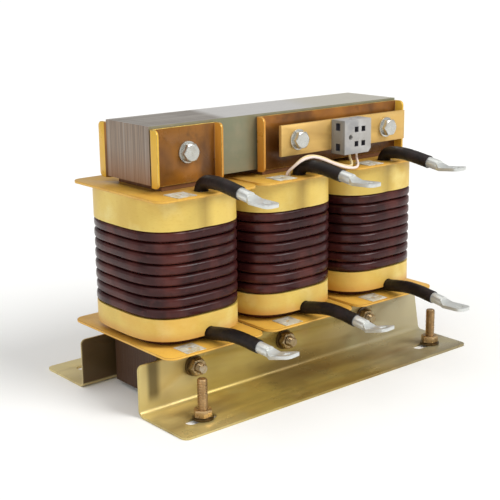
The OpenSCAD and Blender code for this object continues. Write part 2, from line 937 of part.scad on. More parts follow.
module lower_band(side) {
    color("#e0cc78")
        at_coil(side) {
            difference() {
                band_ring(lower_band_base, winding_base);
                translate([lead_offset, 0, coil_base + lower_lead_rise]) {
                    rod(0, [-coil_depth / 2 - cut, 0], 0, sleeve_d / 2 + sleeve_play);
                    span([-sleeve_d / 2 - sleeve_play, sleeve_d / 2 + sleeve_play],
                        [-coil_depth / 2 - cut, 0], [-sleeve_d, 0]);
                }
            }
            end_packer(ring_angle(flat_start + 1), ring_angle(flat_start),
                winding_base, winding_base + strand_pitch - packer_climb_share * strand_height);
        }
}

// Plain marker plates beside the leads
module marker_plates() {
    color("#dcdcd2")
        for (side = [left, middle, right])
            for (place = [[upper_marker_y, former_top], [lower_marker_y, coil_base]])
                translate([side * limb_pitch + marker_offset, place[0], place[1]])
                    linear_extrude(marker_size.z)
                        difference() {
                            square([marker_size.x, marker_size.y], center = true);
                            circle(marker_hole_d / 2);
                        }
}

// Thermal switch and its wires

module thermal_switch() {
    color("#e8e4d8")
        translate([switch_place.x - switch_size.x / 2, switch_place.y - switch_size.y / 2,
            coil_top - switch_depth - switch_size.z])
            cube(switch_size);
}

// A smooth path through hand-set points
function smooth_point(a, b, c, d, t) =
    (2 * b + (c - a) * t + (2 * a - 5 * b + 4 * c - d) * t * t + (3 * b - a - 3 * c + d) * t * t * t) / 2;

function smooth_path(points, steps) =
    let (n = len(points),
        all = concat([2 * points[0] - points[1]], points, [2 * points[n - 1] - points[n - 2]]))
        concat(
            [for (i = [0:n - 2])
                for (s = [0:steps - 1])
                    smooth_point(all[i], all[i + 1], all[i + 2], all[i + 3], s / steps)],
            [points[n - 1]]
        );

function unit(v) = v / norm(v);

// Direction of a path at each of its points
function path_tangents(path) =
    let (n = len(path))
        [for (i = [0:n - 1])
            unit(path[min(i + 1, n - 1)] - path[max(i - 1, 0)])];

// A side direction carried along a path without twist
function carried_normals(tangents, start) =
    [for (i = 0, normal = unit(start - tangents[0] * (start * tangents[0]));
        i < len(tangents);
        i = i + 1, normal = i < len(tangents) ? unit(normal - tangents[i] * (normal * tangents[i])) : normal)
        normal];

function path_rings(path, radius, sides, start) =
    let (tangents = path_tangents(path), normals = carried_normals(tangents, start))
        [for (i = [0:len(path) - 1])
            let (across = cross(tangents[i], normals[i]))
                [for (k = [0:sides - 1])
                    path[i] + radius * (cos(360 * k / sides) * normals[i] + sin(360 * k / sides) * across)]];

// A wire's points from the block to the switch
function wire_route(from_block, to_switch) =
    concat([for (p = from_block) block_middle + p], [for (p = to_switch) switch_top + p]);

module wire(route) {
    solid_tube(path_rings(smooth_path(route, wire_steps), wire_d / 2, wire_sides, [1, 0, 0]));
}

module thermal_wires() {
    color("#f2e6dc")
        wire(wire_route(white_block_route, white_switch_route));
    color("#e6d3a4")
        wire(wire_route(cream_block_route, cream_switch_route));
}

// Leads: each rises or leaves the coil, arches over and ends in a lug

// Horizontal direction of a lead
function lead_out(yaw) = [sin(yaw), -cos(yaw), 0];

function lead_route(root, yaw, shares, reach, arch) =
    [for (share = shares) root + lead_out(yaw) * share[0] * reach + [0, 0, share[1] * arch]];

function upper_route(side) =
    lead_route([side * limb_pitch + lead_offset, -upper_root, coil_top],
        upper_yaw[side + 1], upper_route_shares, upper_reach * upper_reach_shares[side + 1], upper_arch);

function lower_route(side) =
    lead_route([side * limb_pitch + lead_offset, -winding_front - seat_gap, coil_base + lower_lead_rise],
        lower_yaw[side + 1], lower_route_shares, lower_reach * lower_reach_shares[side + 1],
        lower_arch * lower_arch_shares[side + 1]);

// End of a route's curve, and the direction in which it leaves
function route_end(route) = route[len(route) - 1];
function route_heading(route) = unit(route[len(route) - 1] - route[len(route) - 2]);
function route_pitch(route) = asin(route_heading(route).z);

// A route's smooth path, made longer in a straight line
function lead_path(route, more) =
    concat(smooth_path(route, route_steps), [route_end(route) + route_heading(route) * more]);

// Side direction of a lead, square to its plane
function lead_side(yaw) = [cos(yaw), sin(yaw), 0];

module conductor(route, yaw) {
    solid_tube(path_rings(lead_path(route, conductor_grip), conductor_d / 2, conductor_sides, lead_side(yaw)));
}

module sleeve(route, yaw) {
    path = lead_path(route, sleeve_lap);
    hollow_tube(
        path_rings(path, sleeve_d / 2, sleeve_sides, lead_side(yaw)),
        path_rings(path, sleeve_bore / 2 / cos(180 / sleeve_sides), sleeve_sides, lead_side(yaw))
    );
}

module lead_conductors() {
    color("#b8653a")
        for (side = [left, middle, right]) {
            conductor(upper_route(side), upper_yaw[side + 1]);
            conductor(lower_route(side), lower_yaw[side + 1]);
        }
}

module upper_sleeves() {
    color("#241c1a")
        for (side = [left, middle, right])
            sleeve(upper_route(side), upper_yaw[side + 1]);
}

module lower_sleeves() {
    color("#241c1a")
        for (side = [left, middle, right])
            sleeve(lower_route(side), lower_yaw[side + 1]);
}

// How far the palm's middle lies below the barrel's axis
palm_drop = palm_drop_share * (barrel_d - palm_thickness) / 2;

// Directions along and square to a line that rises at an angle, in the lead's upright plane
function line_along(angle) = [cos(angle), sin(angle)];
function line_above(angle) = [-sin(angle), cos(angle)];

// Start of the palm, as distance out and height from the route's end
function palm_start(pitch) =
    (barrel_length + neck_length) * line_along(pitch) - palm_drop * line_above(pitch);

// Upright outline of the neck and palm
module lug_side(pitch, tilt) {
    root = bore_depth * line_along(pitch);
    root_half = neck_root_share * barrel_d / 2 * line_above(pitch);
    start = palm_start(pitch);
    half = palm_thickness / 2 * line_above(tilt);
    end = start + palm_length * line_along(tilt);
    polygon([root - root_half, start - half, end - half, end + half, start + half, root + root_half]);
}

// Flat outline of the neck and palm, seen from above
module lug_plan(pitch) {
    start = palm_start(pitch)[0];
    end = start + palm_length;
    half = palm_width / 2;
    root_half = neck_root_share * barrel_d / 2;
    polygon(concat(
        [[bore_depth, root_half], [bore_depth, -root_half], [start, -half]],
        arc([end - palm_corner, palm_corner - half], palm_corner, -90, 0),
        arc([end - palm_corner, half - palm_corner], palm_corner, 0, 90),
        [[start, half]]
    ));
}

module lug(route, yaw, tilt) {
    pitch = route_pitch(route);
    start = palm_start(pitch);
    color("#d8dcd4")
        translate(route_end(route))
            rotate([0, 0, yaw - 90])
                difference() {
                    union() {
                        rotate([0, 90 - pitch, 0])
                            translate([0, 0, barrel_start])
                                cylinder(h = barrel_length - barrel_start, r = barrel_d / 2);
                        intersection() {
                            translate([0, palm_width / 2, 0])
                                rotate([90, 0, 0])
                                    linear_extrude(palm_width)
                                        lug_side(pitch, tilt);
                            translate([0, 0, -palm_length])
                                linear_extrude(2 * palm_length)
                                    lug_plan(pitch);
                        }
                    }
                    rotate([0, 90 - pitch, 0])
                        translate([0, 0, barrel_start - cut])
                            cylinder(h = bore_depth + cut - barrel_start, r = barrel_bore / 2);
                    translate([start[0], 0, start[1]])
                        rotate([0, -tilt, 0])
                            translate([palm_length - palm_hole_inset, 0, -palm_thickness / 2 - cut])
                                cylinder(h = palm_thickness + 2 * cut, r = palm_hole_d / 2);
                }
}

module upper_lug(side) {
    lug(upper_route(side), upper_yaw[side + 1], upper_palm_tilt[side + 1]);
}

module lower_lug(side) {
    lug(lower_route(side), lower_yaw[side + 1], lower_palm_tilt[side + 1]);
}

// Centre and upward direction of a lug's hole
function palm_hole(route, yaw, tilt) =
    let (out = lead_out(yaw),
        start = palm_start(route_pitch(route)),
        reach = palm_length - palm_hole_inset)
        [route_end(route) + out * (start[0] + reach * cos(tilt)) + [0, 0, start[1] + reach * sin(tilt)],
         [0, 0, cos(tilt)] - out * sin(tilt)];

echo(least_gap_between_turns = winding_gap);
for (side = [left, middle, right]) {
    echo(upper_lug_hole = palm_hole(upper_route(side), upper_yaw[side + 1], upper_palm_tilt[side + 1]));
    echo(lower_lug_hole = palm_hole(lower_route(side), lower_yaw[side + 1], lower_palm_tilt[side + 1]));
}

bottom_yoke();
top_yoke();
limb(left);  // left_limb
limb(middle);  // middle_limb
limb(right);  // right_limb
gap_spacers();
at_front() left_clamp();  // front_left_clamp
at_front() right_clamp();  // front_right_clamp
left_clamp();  // rear_left_clamp
right_clamp();  // rear_right_clamp
at_front() lower_clamp_plate();  // lower_front_clamp
lower_clamp_plate();  // lower_rear_clamp
at_front() rail(web_slant);  // front_rail
rail(0);  // rear_rail
upper_clamp_bolts();
rail_bolt_set();  // rail_bolts
clamp_nuts();
clamp_washers();
fixing_studs();
fixing_nuts();
fixing_washers();
terminal_bar();
bar_spacers();
terminal_block();
terminal_clamps();
terminal_screws();
thermal_switch();
thermal_wires();
former_tube(left);  // left_former_tube
upper_flange(left);  // left_upper_flange
lower_flange(left);  // left_lower_flange
inner_winding(left);  // left_inner_winding
outer_winding(left);  // left_outer_winding
upper_band(left);  // left_upper_band
lower_band(left);  // left_lower_band
former_tube(middle);  // middle_former_tube
upper_flange(middle);  // middle_upper_flange
lower_flange(middle);  // middle_lower_flange
inner_winding(middle);  // middle_inner_winding
outer_winding(middle);  // middle_outer_winding
upper_band(middle);  // middle_upper_band
lower_band(middle);  // middle_lower_band
former_tube(right);  // right_former_tube
upper_flange(right);  // right_upper_flange
lower_flange(right);  // right_lower_flange
inner_winding(right);  // right_inner_winding
outer_winding(right);  // right_outer_winding
upper_band(right);  // right_upper_band
lower_band(right);  // right_lower_band
marker_plates();
lead_conductors();
upper_sleeves();
lower_sleeves();
upper_lug(left);  // upper_left_lug
upper_lug(middle);  // upper_middle_lug
upper_lug(right);  // upper_right_lug
lower_lug(left);  // lower_left_lug
lower_lug(middle);  // lower_middle_lug
lower_lug(right);  // lower_right_lug
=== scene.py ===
import math
import random

import bpy
from mathutils import Matrix, Vector


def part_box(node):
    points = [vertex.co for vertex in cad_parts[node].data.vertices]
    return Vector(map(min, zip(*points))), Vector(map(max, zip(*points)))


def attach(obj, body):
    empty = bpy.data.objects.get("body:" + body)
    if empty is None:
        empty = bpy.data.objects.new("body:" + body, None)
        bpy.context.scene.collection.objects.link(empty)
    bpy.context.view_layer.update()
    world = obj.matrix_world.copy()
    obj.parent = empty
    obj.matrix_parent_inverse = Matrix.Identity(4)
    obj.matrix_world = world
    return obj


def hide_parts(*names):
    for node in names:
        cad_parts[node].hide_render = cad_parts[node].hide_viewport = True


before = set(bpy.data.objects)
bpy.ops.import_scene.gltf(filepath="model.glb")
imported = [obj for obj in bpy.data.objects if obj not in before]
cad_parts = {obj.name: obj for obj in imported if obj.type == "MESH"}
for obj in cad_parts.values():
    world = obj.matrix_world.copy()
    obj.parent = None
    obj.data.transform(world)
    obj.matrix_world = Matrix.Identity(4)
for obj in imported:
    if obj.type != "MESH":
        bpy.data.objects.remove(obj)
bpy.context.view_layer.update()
MM = 0.001

# Studio: a wide pale floor, an even pale surround and three soft lamps that are far away. The
# camera stands where the photograph's camera stood, as fitted to the part's straight edges.
CAMERA_PLACE = Vector((-0.5914, -0.6949, 0.3318))
CAMERA_YAW = math.radians(-39.81)
CAMERA_TILT = math.radians(90 - 14.41)
CAMERA_ROLL = math.radians(-0.63)
CAMERA_LENS = 78.9
FLOOR_REACH = 60.0
SURROUND_STRENGTH = 0.42
FAR_LAMPS = [
    ("key_lamp", (0.5, -1.0, 0.95), 34, 2.1),
    ("left_lamp", (-1.0, -0.35, 0.7), 70, 0.8),
    ("top_lamp", (-0.1, 0.2, 1.0), 50, 0.6),
]


def linear(code):
    """A colour written as six hexadecimal digits, as linear light"""
    shares = [int(code[i : i + 2], 16) / 255 for i in (1, 3, 5)]
    return tuple(s / 12.92 if s <= 0.04045 else ((s + 0.055) / 1.055) ** 2.4 for s in shares)


def finish(name, colour, roughness, **sockets):
    """A new material whose constant values sit on the shader's own sockets"""
    material = bpy.data.materials.new(name)
    material.use_nodes = True
    shader = material.node_tree.nodes["Principled BSDF"]
    shader.inputs["Base Color"].default_value = (*linear(colour), 1)
    shader.inputs["Roughness"].default_value = roughness
    for socket, value in sockets.items():
        shader.inputs[socket.replace("_", " ").title().replace("Ior", "IOR")].default_value = value
    return material


bpy.ops.object.select_all(action="DESELECT")
bpy.ops.object.camera_add(location=CAMERA_PLACE)
camera = bpy.context.object
turn = Matrix.Rotation(CAMERA_YAW, 4, "Z") @ Matrix.Rotation(CAMERA_TILT, 4, "X")
camera.matrix_world = Matrix.Translation(CAMERA_PLACE) @ turn @ Matrix.Rotation(CAMERA_ROLL, 4, "Z")
camera.data.lens = CAMERA_LENS
camera.data.clip_start = 0.01
bpy.context.scene.camera = camera

for lamp_name, direction, spread, strength in FAR_LAMPS:
    bpy.ops.object.light_add(type="SUN", location=direction)
    lamp = bpy.context.object
    lamp.name = lamp_name
    lamp.data.angle = math.radians(spread)
    lamp.data.energy = strength
    lamp.rotation_euler = Vector(direction).to_track_quat("Z", "Y").to_euler()

bpy.ops.mesh.primitive_plane_add(size=FLOOR_REACH, location=(0, 0, 0))
floor = bpy.context.object
floor.name = "studio_floor"
floor.data.materials.append(finish("pale_floor", "#f6f6f4", 0.9, specular_ior_level=0.1))

world = bpy.data.worlds.new("pale_surround")
world.use_nodes = True
bpy.context.scene.world = world
world.node_tree.nodes["Background"].inputs["Color"].default_value = (1, 1, 1, 1)
world.node_tree.nodes["Background"].inputs["Strength"].default_value = SURROUND_STRENGTH
bpy.context.scene.view_settings.view_transform = "Standard"

# Mounting rails: two angles of folded sheet with slotted feet, bolted through the lower yoke. Their
# yellow zinc plating has cloudy brown, green and pink tints, and bare metal along the cut edges.
LEFT = (-1, 0, 0)
RIGHT = (1, 0, 0)
FRONT = (0, -1, 0)
UP = (0, 0, 1)
DOWN = (0, 0, -1)
ZINC = "#b39d52"
ZINC_BROWN = "#82683a"
ZINC_GREEN = "#a0a070"
ZINC_PINK = "#b08a66"
ZINC_SHEEN = "#dcc888"
ZINC_GREY = "#bcb496"
ZINC_MIDDLE_DARK = "#6a5632"
FOOT_BROWN = "#745628"
DARK_REFLECTION = "#463618"
REAR_PAINTED_LIGHT_ZINC = "#e4d298"
REAR_SHADE = "#3f260c"
SHEEN_LEFT_END = (85 * MM, 120 * MM)
GREY_RIGHT_END = (20 * MM, 120 * MM)
DARKER_STRETCH = (-100 * MM, -40 * MM)
FRONT_FOOT = (46 * MM, 60 * MM)
END_BAND_LEFT = (-152 * MM, -147 * MM)
END_BAND_RIGHT = (136 * MM, 143 * MM)
END_BAND_RISE = (6 * MM, 18 * MM)
REAR_WEB_RISE = (2 * MM, 5 * MM)
REAR_WEB_FACE = (-41.2 * MM, -39.8 * MM)
EDGE_METAL = "#c8b878"
EDGE_ROUND = 0.35 * MM
CLOUD_DETAIL = 4
WELD_REACH = 0.002 * MM


def mask_group(name, numbers, vectors):
    """A node group that cuts a pattern on Object coordinates to a mask between two levels"""
    group = bpy.data.node_groups.new(name, "ShaderNodeTree")
    for socket in (*numbers, "Low", "High"):
        group.interface.new_socket(socket, in_out="INPUT", socket_type="NodeSocketFloat")
    for socket in vectors:
        group.interface.new_socket(socket, in_out="INPUT", socket_type="NodeSocketVector")
    group.interface.new_socket("Mask", in_out="OUTPUT", socket_type="NodeSocketFloat")
    new, link = group.nodes.new, group.links.new
    entry, leave = new("NodeGroupInput"), new("NodeGroupOutput")
    place, levels = new("ShaderNodeTexCoord"), new("ShaderNodeMapRange")
    levels.interpolation_type = "SMOOTHSTEP"
    link(entry.outputs["Low"], levels.inputs["From Min"])
    link(entry.outputs["High"], levels.inputs["From Max"])
    link(levels.outputs["Result"], leave.inputs["Mask"])
    return group, entry.outputs, place.outputs["Object"], levels.inputs["Value"]


def cloud_group():
    """Noise, stretched and shifted"""
    group, entry, place, level = mask_group("Clouds", ["Scale"], ["Stretch", "Shift"])
    new, link = group.nodes.new, group.links.new
    mapping, noise = new("ShaderNodeMapping"), new("ShaderNodeTexNoise")
    noise.inputs["Detail"].default_value = CLOUD_DETAIL
    link(place, mapping.inputs["Vector"])
    link(entry["Shift"], mapping.inputs["Location"])
    link(entry["Stretch"], mapping.inputs["Scale"])
    link(mapping.outputs["Vector"], noise.inputs["Vector"])
    link(entry["Scale"], noise.inputs["Scale"])
    link(noise.outputs[0], level)
    return group


def zone_group():
    """A soft step along a direction, from one place to another"""
    group, entry, place, level = mask_group("Zone", [], ["Direction"])
    along = group.nodes.new("ShaderNodeVectorMath")
    along.operation = "DOT_PRODUCT"
    group.links.new(place, along.inputs[0])
    group.links.new(entry["Direction"], along.inputs[1])
    group.links.new(along.outputs["Value"], level)
    return group


clouds = cloud_group()
zone = zone_group()


def placed_group(material, group, low, high, **values):
    node = material.node_tree.nodes.new("ShaderNodeGroup")
    node.node_tree = group
    for socket, value in {"Low": low, "High": high, **values}.items():
        node.inputs[socket].default_value = value
    return node.outputs["Mask"]


def cloudy(material, scale, low, high, stretch=(1, 1, 1), shift=(0, 0, 0)):
    return placed_group(material, clouds, low, high, Scale=scale, Stretch=stretch, Shift=shift)


def zoned(material, direction, start, end):
    return placed_group(material, zone, start, end, Direction=direction)


def product(material, first, second):
    node = material.node_tree.nodes.new("ShaderNodeMath")
    node.operation = "MULTIPLY"
    material.node_tree.links.new(first, node.inputs[0])
    material.node_tree.links.new(second, node.inputs[1])
    return node.outputs["Value"]


def tint(material, mask, over, strength):
    """Lays a colour over what already feeds the shader's base colour, through a mask"""
    tree = material.node_tree
    base = tree.nodes["Principled BSDF"].inputs["Base Color"]
    mix, share = tree.nodes.new("ShaderNodeMix"), tree.nodes.new("ShaderNodeMath")
    mix.data_type = "RGBA"
    share.operation = "MULTIPLY"
    share.inputs[1].default_value = strength
    tree.links.new(mask, share.inputs[0])
    tree.links.new(share.outputs["Value"], mix.inputs["Factor"])
    if base.is_linked:
        tree.links.new(base.links[0].from_socket, mix.inputs[6])
    else:
        mix.inputs[6].default_value = base.default_value
    mix.inputs[7].default_value = (*linear(over), 1)
    tree.links.new(mix.outputs[2], base)


def mottled(material, colour, strength, *pattern, **place):
    """Clouds of a colour over a material"""
    tint(material, cloudy(material, *pattern, **place), colour, strength)


def shaded(material, colour, strength, *reach):
    """A colour over the part of a material beyond a soft step"""
    tint(material, zoned(material, *reach), colour, strength)


def gloss(material, smooth, rough, *pattern, **place):
    """Roughness that varies in clouds between two values"""
    tree = material.node_tree
    levels = tree.nodes.new("ShaderNodeMapRange")
    levels.inputs["To Min"].default_value = smooth
    levels.inputs["To Max"].default_value = rough
    tree.links.new(cloudy(material, *pattern, **place), levels.inputs["Value"])
    tree.links.new(levels.outputs["Result"], tree.nodes["Principled BSDF"].inputs["Roughness"])


def relief(material, depth, *pattern, **place):
    """Bump of a real depth in clouds, over any bump that is there already"""
    tree = material.node_tree
    normal = tree.nodes["Principled BSDF"].inputs["Normal"]
    bump = tree.nodes.new("ShaderNodeBump")
    bump.inputs["Distance"].default_value = depth
    tree.links.new(cloudy(material, *pattern, **place), bump.inputs["Height"])
    if normal.is_linked:
        tree.links.new(normal.links[0].from_socket, bump.inputs["Normal"])
    tree.links.new(bump.outputs["Normal"], normal)


def passivated(name, base, roughness, tints):
    """Yellow zinc plating: cloudy tints, rolling streaks and a fine orange peel"""
    material = finish(name, base, roughness, metallic=0.4, specular_ior_level=0.4)
    mottled(material, ZINC_BROWN, tints, 14, 0.42, 0.68, stretch=(0.5, 1, 1.6))
    mottled(material, ZINC_GREEN, 0.8 * tints, 22, 0.52, 0.72, shift=(3, 1, 2))
    mottled(material, ZINC_PINK, 0.6 * tints, 18, 0.56, 0.74, shift=(7, 5, 1))
    mottled(material, ZINC_BROWN, 0.2, 120, 0.5, 0.75, stretch=(0.1, 1, 1))
    gloss(material, roughness - 0.08, roughness + 0.14, 30, 0.35, 0.7, shift=(2, 8, 4))
    relief(material, 0.1 * MM, 60, 0.2, 0.8, stretch=(0.4, 1, 1))
    return material


def cut_edge(name="bare_edge", colour=EDGE_METAL):
    """Metal that shows where the finish is thin along an edge"""
    material = finish(name, colour, 0.35, metallic=0.8)
    mottled(material, ZINC_BROWN, 0.5, 160, 0.4, 0.65)
    return material


def pick(piece):
    bpy.ops.object.select_all(action="DESELECT")
    piece.select_set(True)
    bpy.context.view_layer.objects.active = piece


def modified(piece, kind, **settings):
    """Adds one modifier and applies it"""
    modifier = piece.modifiers.new(kind.title(), kind)
    for setting, value in settings.items():
        setattr(modifier, setting, value)
    pick(piece)
    bpy.ops.object.modifier_apply(modifier=modifier.name)
    return piece


def smoothed(piece, angle=35):
    pick(piece)
    bpy.ops.object.shade_smooth_by_angle(angle=math.radians(angle))
    return piece


def placed(piece):
    """Moves a piece's place, turn and scale into its mesh"""
    pick(piece)
    bpy.ops.object.transform_apply(location=True, rotation=True, scale=True)
    return piece


def surfaced(piece, *materials):
    """Gives a piece these materials and no others"""
    piece.data.materials.clear()
    for material in materials:
        piece.data.materials.append(material)
    return piece


def twin_of(piece, name=""):
    """A copy of a piece with a mesh of its own"""
    twin = bpy.data.objects.new(name or piece.name, piece.data.copy())
    bpy.context.scene.collection.objects.link(twin)
    return twin


def merged_copy(node, name, *materials):
    """A copy of a CAD node's mesh with its loose triangles merged into clean faces"""
    piece = surfaced(twin_of(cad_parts[node], name), *materials)
    pick(piece)
    bpy.ops.object.mode_set(mode="EDIT")
    bpy.ops.mesh.select_all(action="SELECT")
    bpy.ops.mesh.remove_doubles(threshold=WELD_REACH)
    bpy.ops.mesh.dissolve_limited(angle_limit=math.radians(1))
    bpy.ops.object.mode_set(mode="OBJECT")
    bpy.ops.mesh.customdata_custom_splitnormals_clear()
    return piece


def rounded_edges(piece, width, angle=40, edge_slot=-1):
    modified(piece, "BEVEL", width=width, segments=2, limit_method="ANGLE",
             angle_limit=math.radians(angle), material=edge_slot, miter_outer="MITER_ARC")
    return smoothed(piece)


def settled(piece, node):
    """Applies the piece's place to its mesh, and lets it stand for its node"""
    placed(piece)
    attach(piece, "root")
    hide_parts(node)


def rounded_copy(node, name, slot, width, *materials):
    """A clean copy of a CAD node with rounded edges, in the second material where there is one"""
    piece = merged_copy(node, name, *materials)
    rounded_edges(piece, width, edge_slot=1 if len(materials) > 1 else -1)
    settled(piece, node)


bare_edge = cut_edge()
rail_zinc = passivated("rail_zinc", ZINC, 0.34, 0.6)
# Painted reflection: a paler patch towards the rails' left end.
shaded(rail_zinc, ZINC_SHEEN, 0.7, LEFT, *SHEEN_LEFT_END)
shaded(rail_zinc, ZINC_GREY, 0.75, RIGHT, *GREY_RIGHT_END)
# Darker clouds along the rails' middle.
middle_darkening = cloudy(rail_zinc, 13, 0.48, 0.62, stretch=(0.7, 1, 1.5), shift=(4, 9, 2))
middle_darkening = product(rail_zinc, zoned(rail_zinc, RIGHT, *DARKER_STRETCH), middle_darkening)
tint(rail_zinc, middle_darkening, ZINC_MIDDLE_DARK, 0.55)
browned = cloudy(rail_zinc, 9, 0.38, 0.62, stretch=(0.6, 2, 1))
browned = product(rail_zinc, zoned(rail_zinc, FRONT, *FRONT_FOOT), browned)
tint(rail_zinc, browned, FOOT_BROWN, 0.7)
# Painted reflection: a dark upright band on the web near the rails' left end.
dark_reflection_band = cloudy(rail_zinc, 45, 0.1, 0.5, stretch=(1, 1, 0.5))
for direction, reach in ((RIGHT, END_BAND_LEFT), (LEFT, END_BAND_RIGHT), (UP, END_BAND_RISE)):
    dark_reflection_band = product(rail_zinc, dark_reflection_band, zoned(rail_zinc, direction, *reach))
tint(rail_zinc, dark_reflection_band, DARK_REFLECTION, 0.75)
# Painted light: the rear rail's plating is made paler to lift the shadow it stands in. Painted shade: the
# inner face of its web is darkened near black.
rear_zinc = passivated("rear_rail_zinc", REAR_PAINTED_LIGHT_ZINC, 0.42, 0.35)
rear_web = product(rear_zinc, zoned(rear_zinc, UP, *REAR_WEB_RISE), zoned(rear_zinc, FRONT, *REAR_WEB_FACE))
tint(rear_zinc, rear_web, REAR_SHADE, 0.93)
for node, zinc in (("front_rail", rail_zinc), ("rear_rail", rear_zinc)):
    rounded_copy(node, "folded_" + node, "rail_sheet", EDGE_ROUND, zinc, bare_edge)

# Core: two yokes and three limbs of stacked silicon-steel sheets, varnished after stacking and held
# by the clamps. Each yoke is cut into sheets whose edges stand slightly unevenly, front to back.
SIDES = ("left", "middle", "right")
SHEET_PITCH = 1.0 * MM
SHEET_STEP = 0.14 * MM
DEEP_STEPS = (0.3, 1)
SHALLOW_STEPS = (0, 0.25)
SHEET_STREAKS = (1, 90, 1)
FACE_LEAN = 0.9
END_LEAN = 0.6
STEEL_EDGE = "#968f86"
STEEL_END = "#958372"
STEEL_STREAK = "#5c5048"
STEEL_PALE = "#c8c6c3"
STEEL_GREEN = "#b8b29e"
STEEL_FACE = "#8a8468"
STEEL_AMBER = "#8e5a26"
STEEL_SHADE = "#3b2108"
FACE_GREEN = "#6f7a62"
FACE_BUFF = "#a09478"
LIMB_AMBER = "#8a5526"
SHEEN_PATCH = ((1, -0.2, 0), -62 * MM, -48 * MM)
GREEN_PATCH = ((1, -0.4, 0), 30 * MM, 60 * MM)
AMBER_RUN = (-204 * MM, -172 * MM)
LOWER_YOKE_RISE = (-100 * MM, -60 * MM)
UPPER_LIMB_RISE = (100 * MM, 160 * MM)


def laminated(material):
    """Fine streaks that run along the sheets of a stack"""
    mottled(material, STEEL_STREAK, 0.6, 6, 0.4, 0.66, stretch=SHEET_STREAKS)
    mottled(material, STEEL_PALE, 0.2, 4, 0.5, 0.66, stretch=SHEET_STREAKS, shift=(2, 2, 2))
    mottled(material, STEEL_STREAK, 0.3, 30, 0.5, 0.75)
    relief(material, 0.08 * MM, 12, 0.3, 0.7, stretch=SHEET_STREAKS)
    return material


def sheet_stack(name, node, seed):
    """A block whose sides are subdivided into sheets, every second ring drawn in a little"""
    low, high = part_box(node)
    middle = (low + high) / 2
    bpy.ops.object.select_all(action="DESELECT")
    bpy.ops.mesh.primitive_cube_add(size=1, location=middle, scale=high - low)
    piece = placed(bpy.context.object)
    piece.name = name
    rings = 2 * round((high.y - low.y) / SHEET_PITCH)
    bpy.ops.object.mode_set(mode="EDIT")
    bpy.ops.mesh.select_mode(type="EDGE")
    bpy.ops.mesh.select_all(action="DESELECT")
    bpy.ops.object.mode_set(mode="OBJECT")
    for edge in piece.data.edges:
        ends = [piece.data.vertices[i].co for i in edge.vertices]
        edge.select = abs(ends[0].y - ends[1].y) > SHEET_PITCH
    bpy.ops.object.mode_set(mode="EDIT")
    bpy.ops.mesh.subdivide(number_cuts=rings - 1)
    bpy.ops.object.mode_set(mode="OBJECT")
    draw = random.Random(seed)
    steps = [draw.uniform(*(DEEP_STEPS if ring % 2 else SHALLOW_STEPS)) * SHEET_STEP
             for ring in range(rings + 1)]
    steps[0] = steps[-1] = 0
    for vertex in piece.data.vertices:
        ring = round((vertex.co.y - low.y) / (high.y - low.y) * rings)
        side = vertex.co - middle
        vertex.co.x -= math.copysign(steps[ring], side.x)
        vertex.co.z -= math.copysign(steps[ring], side.z)
    return piece


edge_steel = laminated(finish("steel_sheet_edges", STEEL_EDGE, 0.42, metallic=0.2, coat_weight=0.15))
# Painted reflection: the yokes' sheet edges are paler towards the right.
shaded(edge_steel, STEEL_PALE, 0.85, *SHEEN_PATCH)
shaded(edge_steel, STEEL_GREEN, 0.6, *GREEN_PATCH)
end_steel = laminated(finish("steel_sheet_ends", STEEL_END, 0.5, metallic=0.1))
shaded(end_steel, STEEL_AMBER, 0.6, DOWN, *AMBER_RUN)
# Painted shade: the sheet ends go near black towards the bottom of the lower yoke.
shaded(end_steel, STEEL_SHADE, 0.94, DOWN, *LOWER_YOKE_RISE)
face_steel = finish("outer_sheet", STEEL_FACE, 0.4, metallic=0.3, coat_weight=0.2)
mottled(face_steel, FACE_GREEN, 0.6, 25, 0.45, 0.7, stretch=(0.4, 1, 1))
mottled(face_steel, FACE_BUFF, 0.4, 60, 0.5, 0.75, shift=(4, 2, 1))
relief(face_steel, 0.03 * MM, 150, 0.3, 0.7)
for node, seed in (("bottom_yoke", 3), ("top_yoke", 11)):
    yoke = surfaced(sheet_stack("stacked_" + node, node, seed), edge_steel, end_steel, face_steel)
    for face in yoke.data.polygons:
        across, endwise = abs(face.normal.y) > FACE_LEAN, abs(face.normal.x) > END_LEAN
        face.material_index = 2 if across else 1 if endwise else 0
    settled(yoke, node)


def dress(node, material):
    """Gives a CAD node that stays as it is its finish"""
    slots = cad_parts[node].material_slots
    if not slots:
        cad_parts[node].data.materials.append(material)
    slots[0].material = material


limb_steel = laminated(finish("limb_steel", STEEL_STREAK, 0.5, metallic=0.2))
shaded(limb_steel, LIMB_AMBER, 0.7, UP, *UPPER_LIMB_RISE)
for side in SIDES:
    dress(side + "_limb", limb_steel)

# Air-gap plates: buff glass laminate with a faint cloth grain. They lie between the stacked blocks of
# each limb, where they keep its air gaps, and are held by the blocks above and below.
GAP_BUFF = "#c2ac72"
GAP_GRAIN = "#9a8450"
gap_board = finish("gap_board", GAP_BUFF, 0.55)
mottled(gap_board, GAP_GRAIN, 0.5, 400, 0.45, 0.6, stretch=(1, 1, 0.2))
dress("gap_spacers", gap_board)

# Yoke clamps: folded sheet with both ends bent outward, bolted together through the yokes. Plated,
# then dipped in amber varnish, which pooled dark on the webs and ran thin on the bent ends. The bent
# ends are also painted brighter as painted light, the right clamps go dark below their top edge,
# partly darker varnish and partly painted shadow of the bar, and the lower clamps take a darker copy
# of the varnish as painted shade.
VARNISH = "#8c5a1c"
VARNISH_DARK = "#3e240c"
VARNISH_RED = "#74421a"
VARNISH_ORANGE = "#bf7d28"
VARNISH_LIT = "#dd9838"
VARNISH_THIN = "#dfb23c"
VARNISH_BROWN = "#8c5820"
VARNISH_SHADE = "#38200c"
VARNISH_IN_SHADE = "#6a4a26"
VARNISHED_EDGE = "#dfc36a"
CLAMP_WEB_FACE = 31.2 * MM
BEND_FADE = 0.5 * MM
END_CLAMP_REACH = (120 * MM, 126 * MM)
TOP_EDGE_RISE = (-212 * MM, -205 * MM)


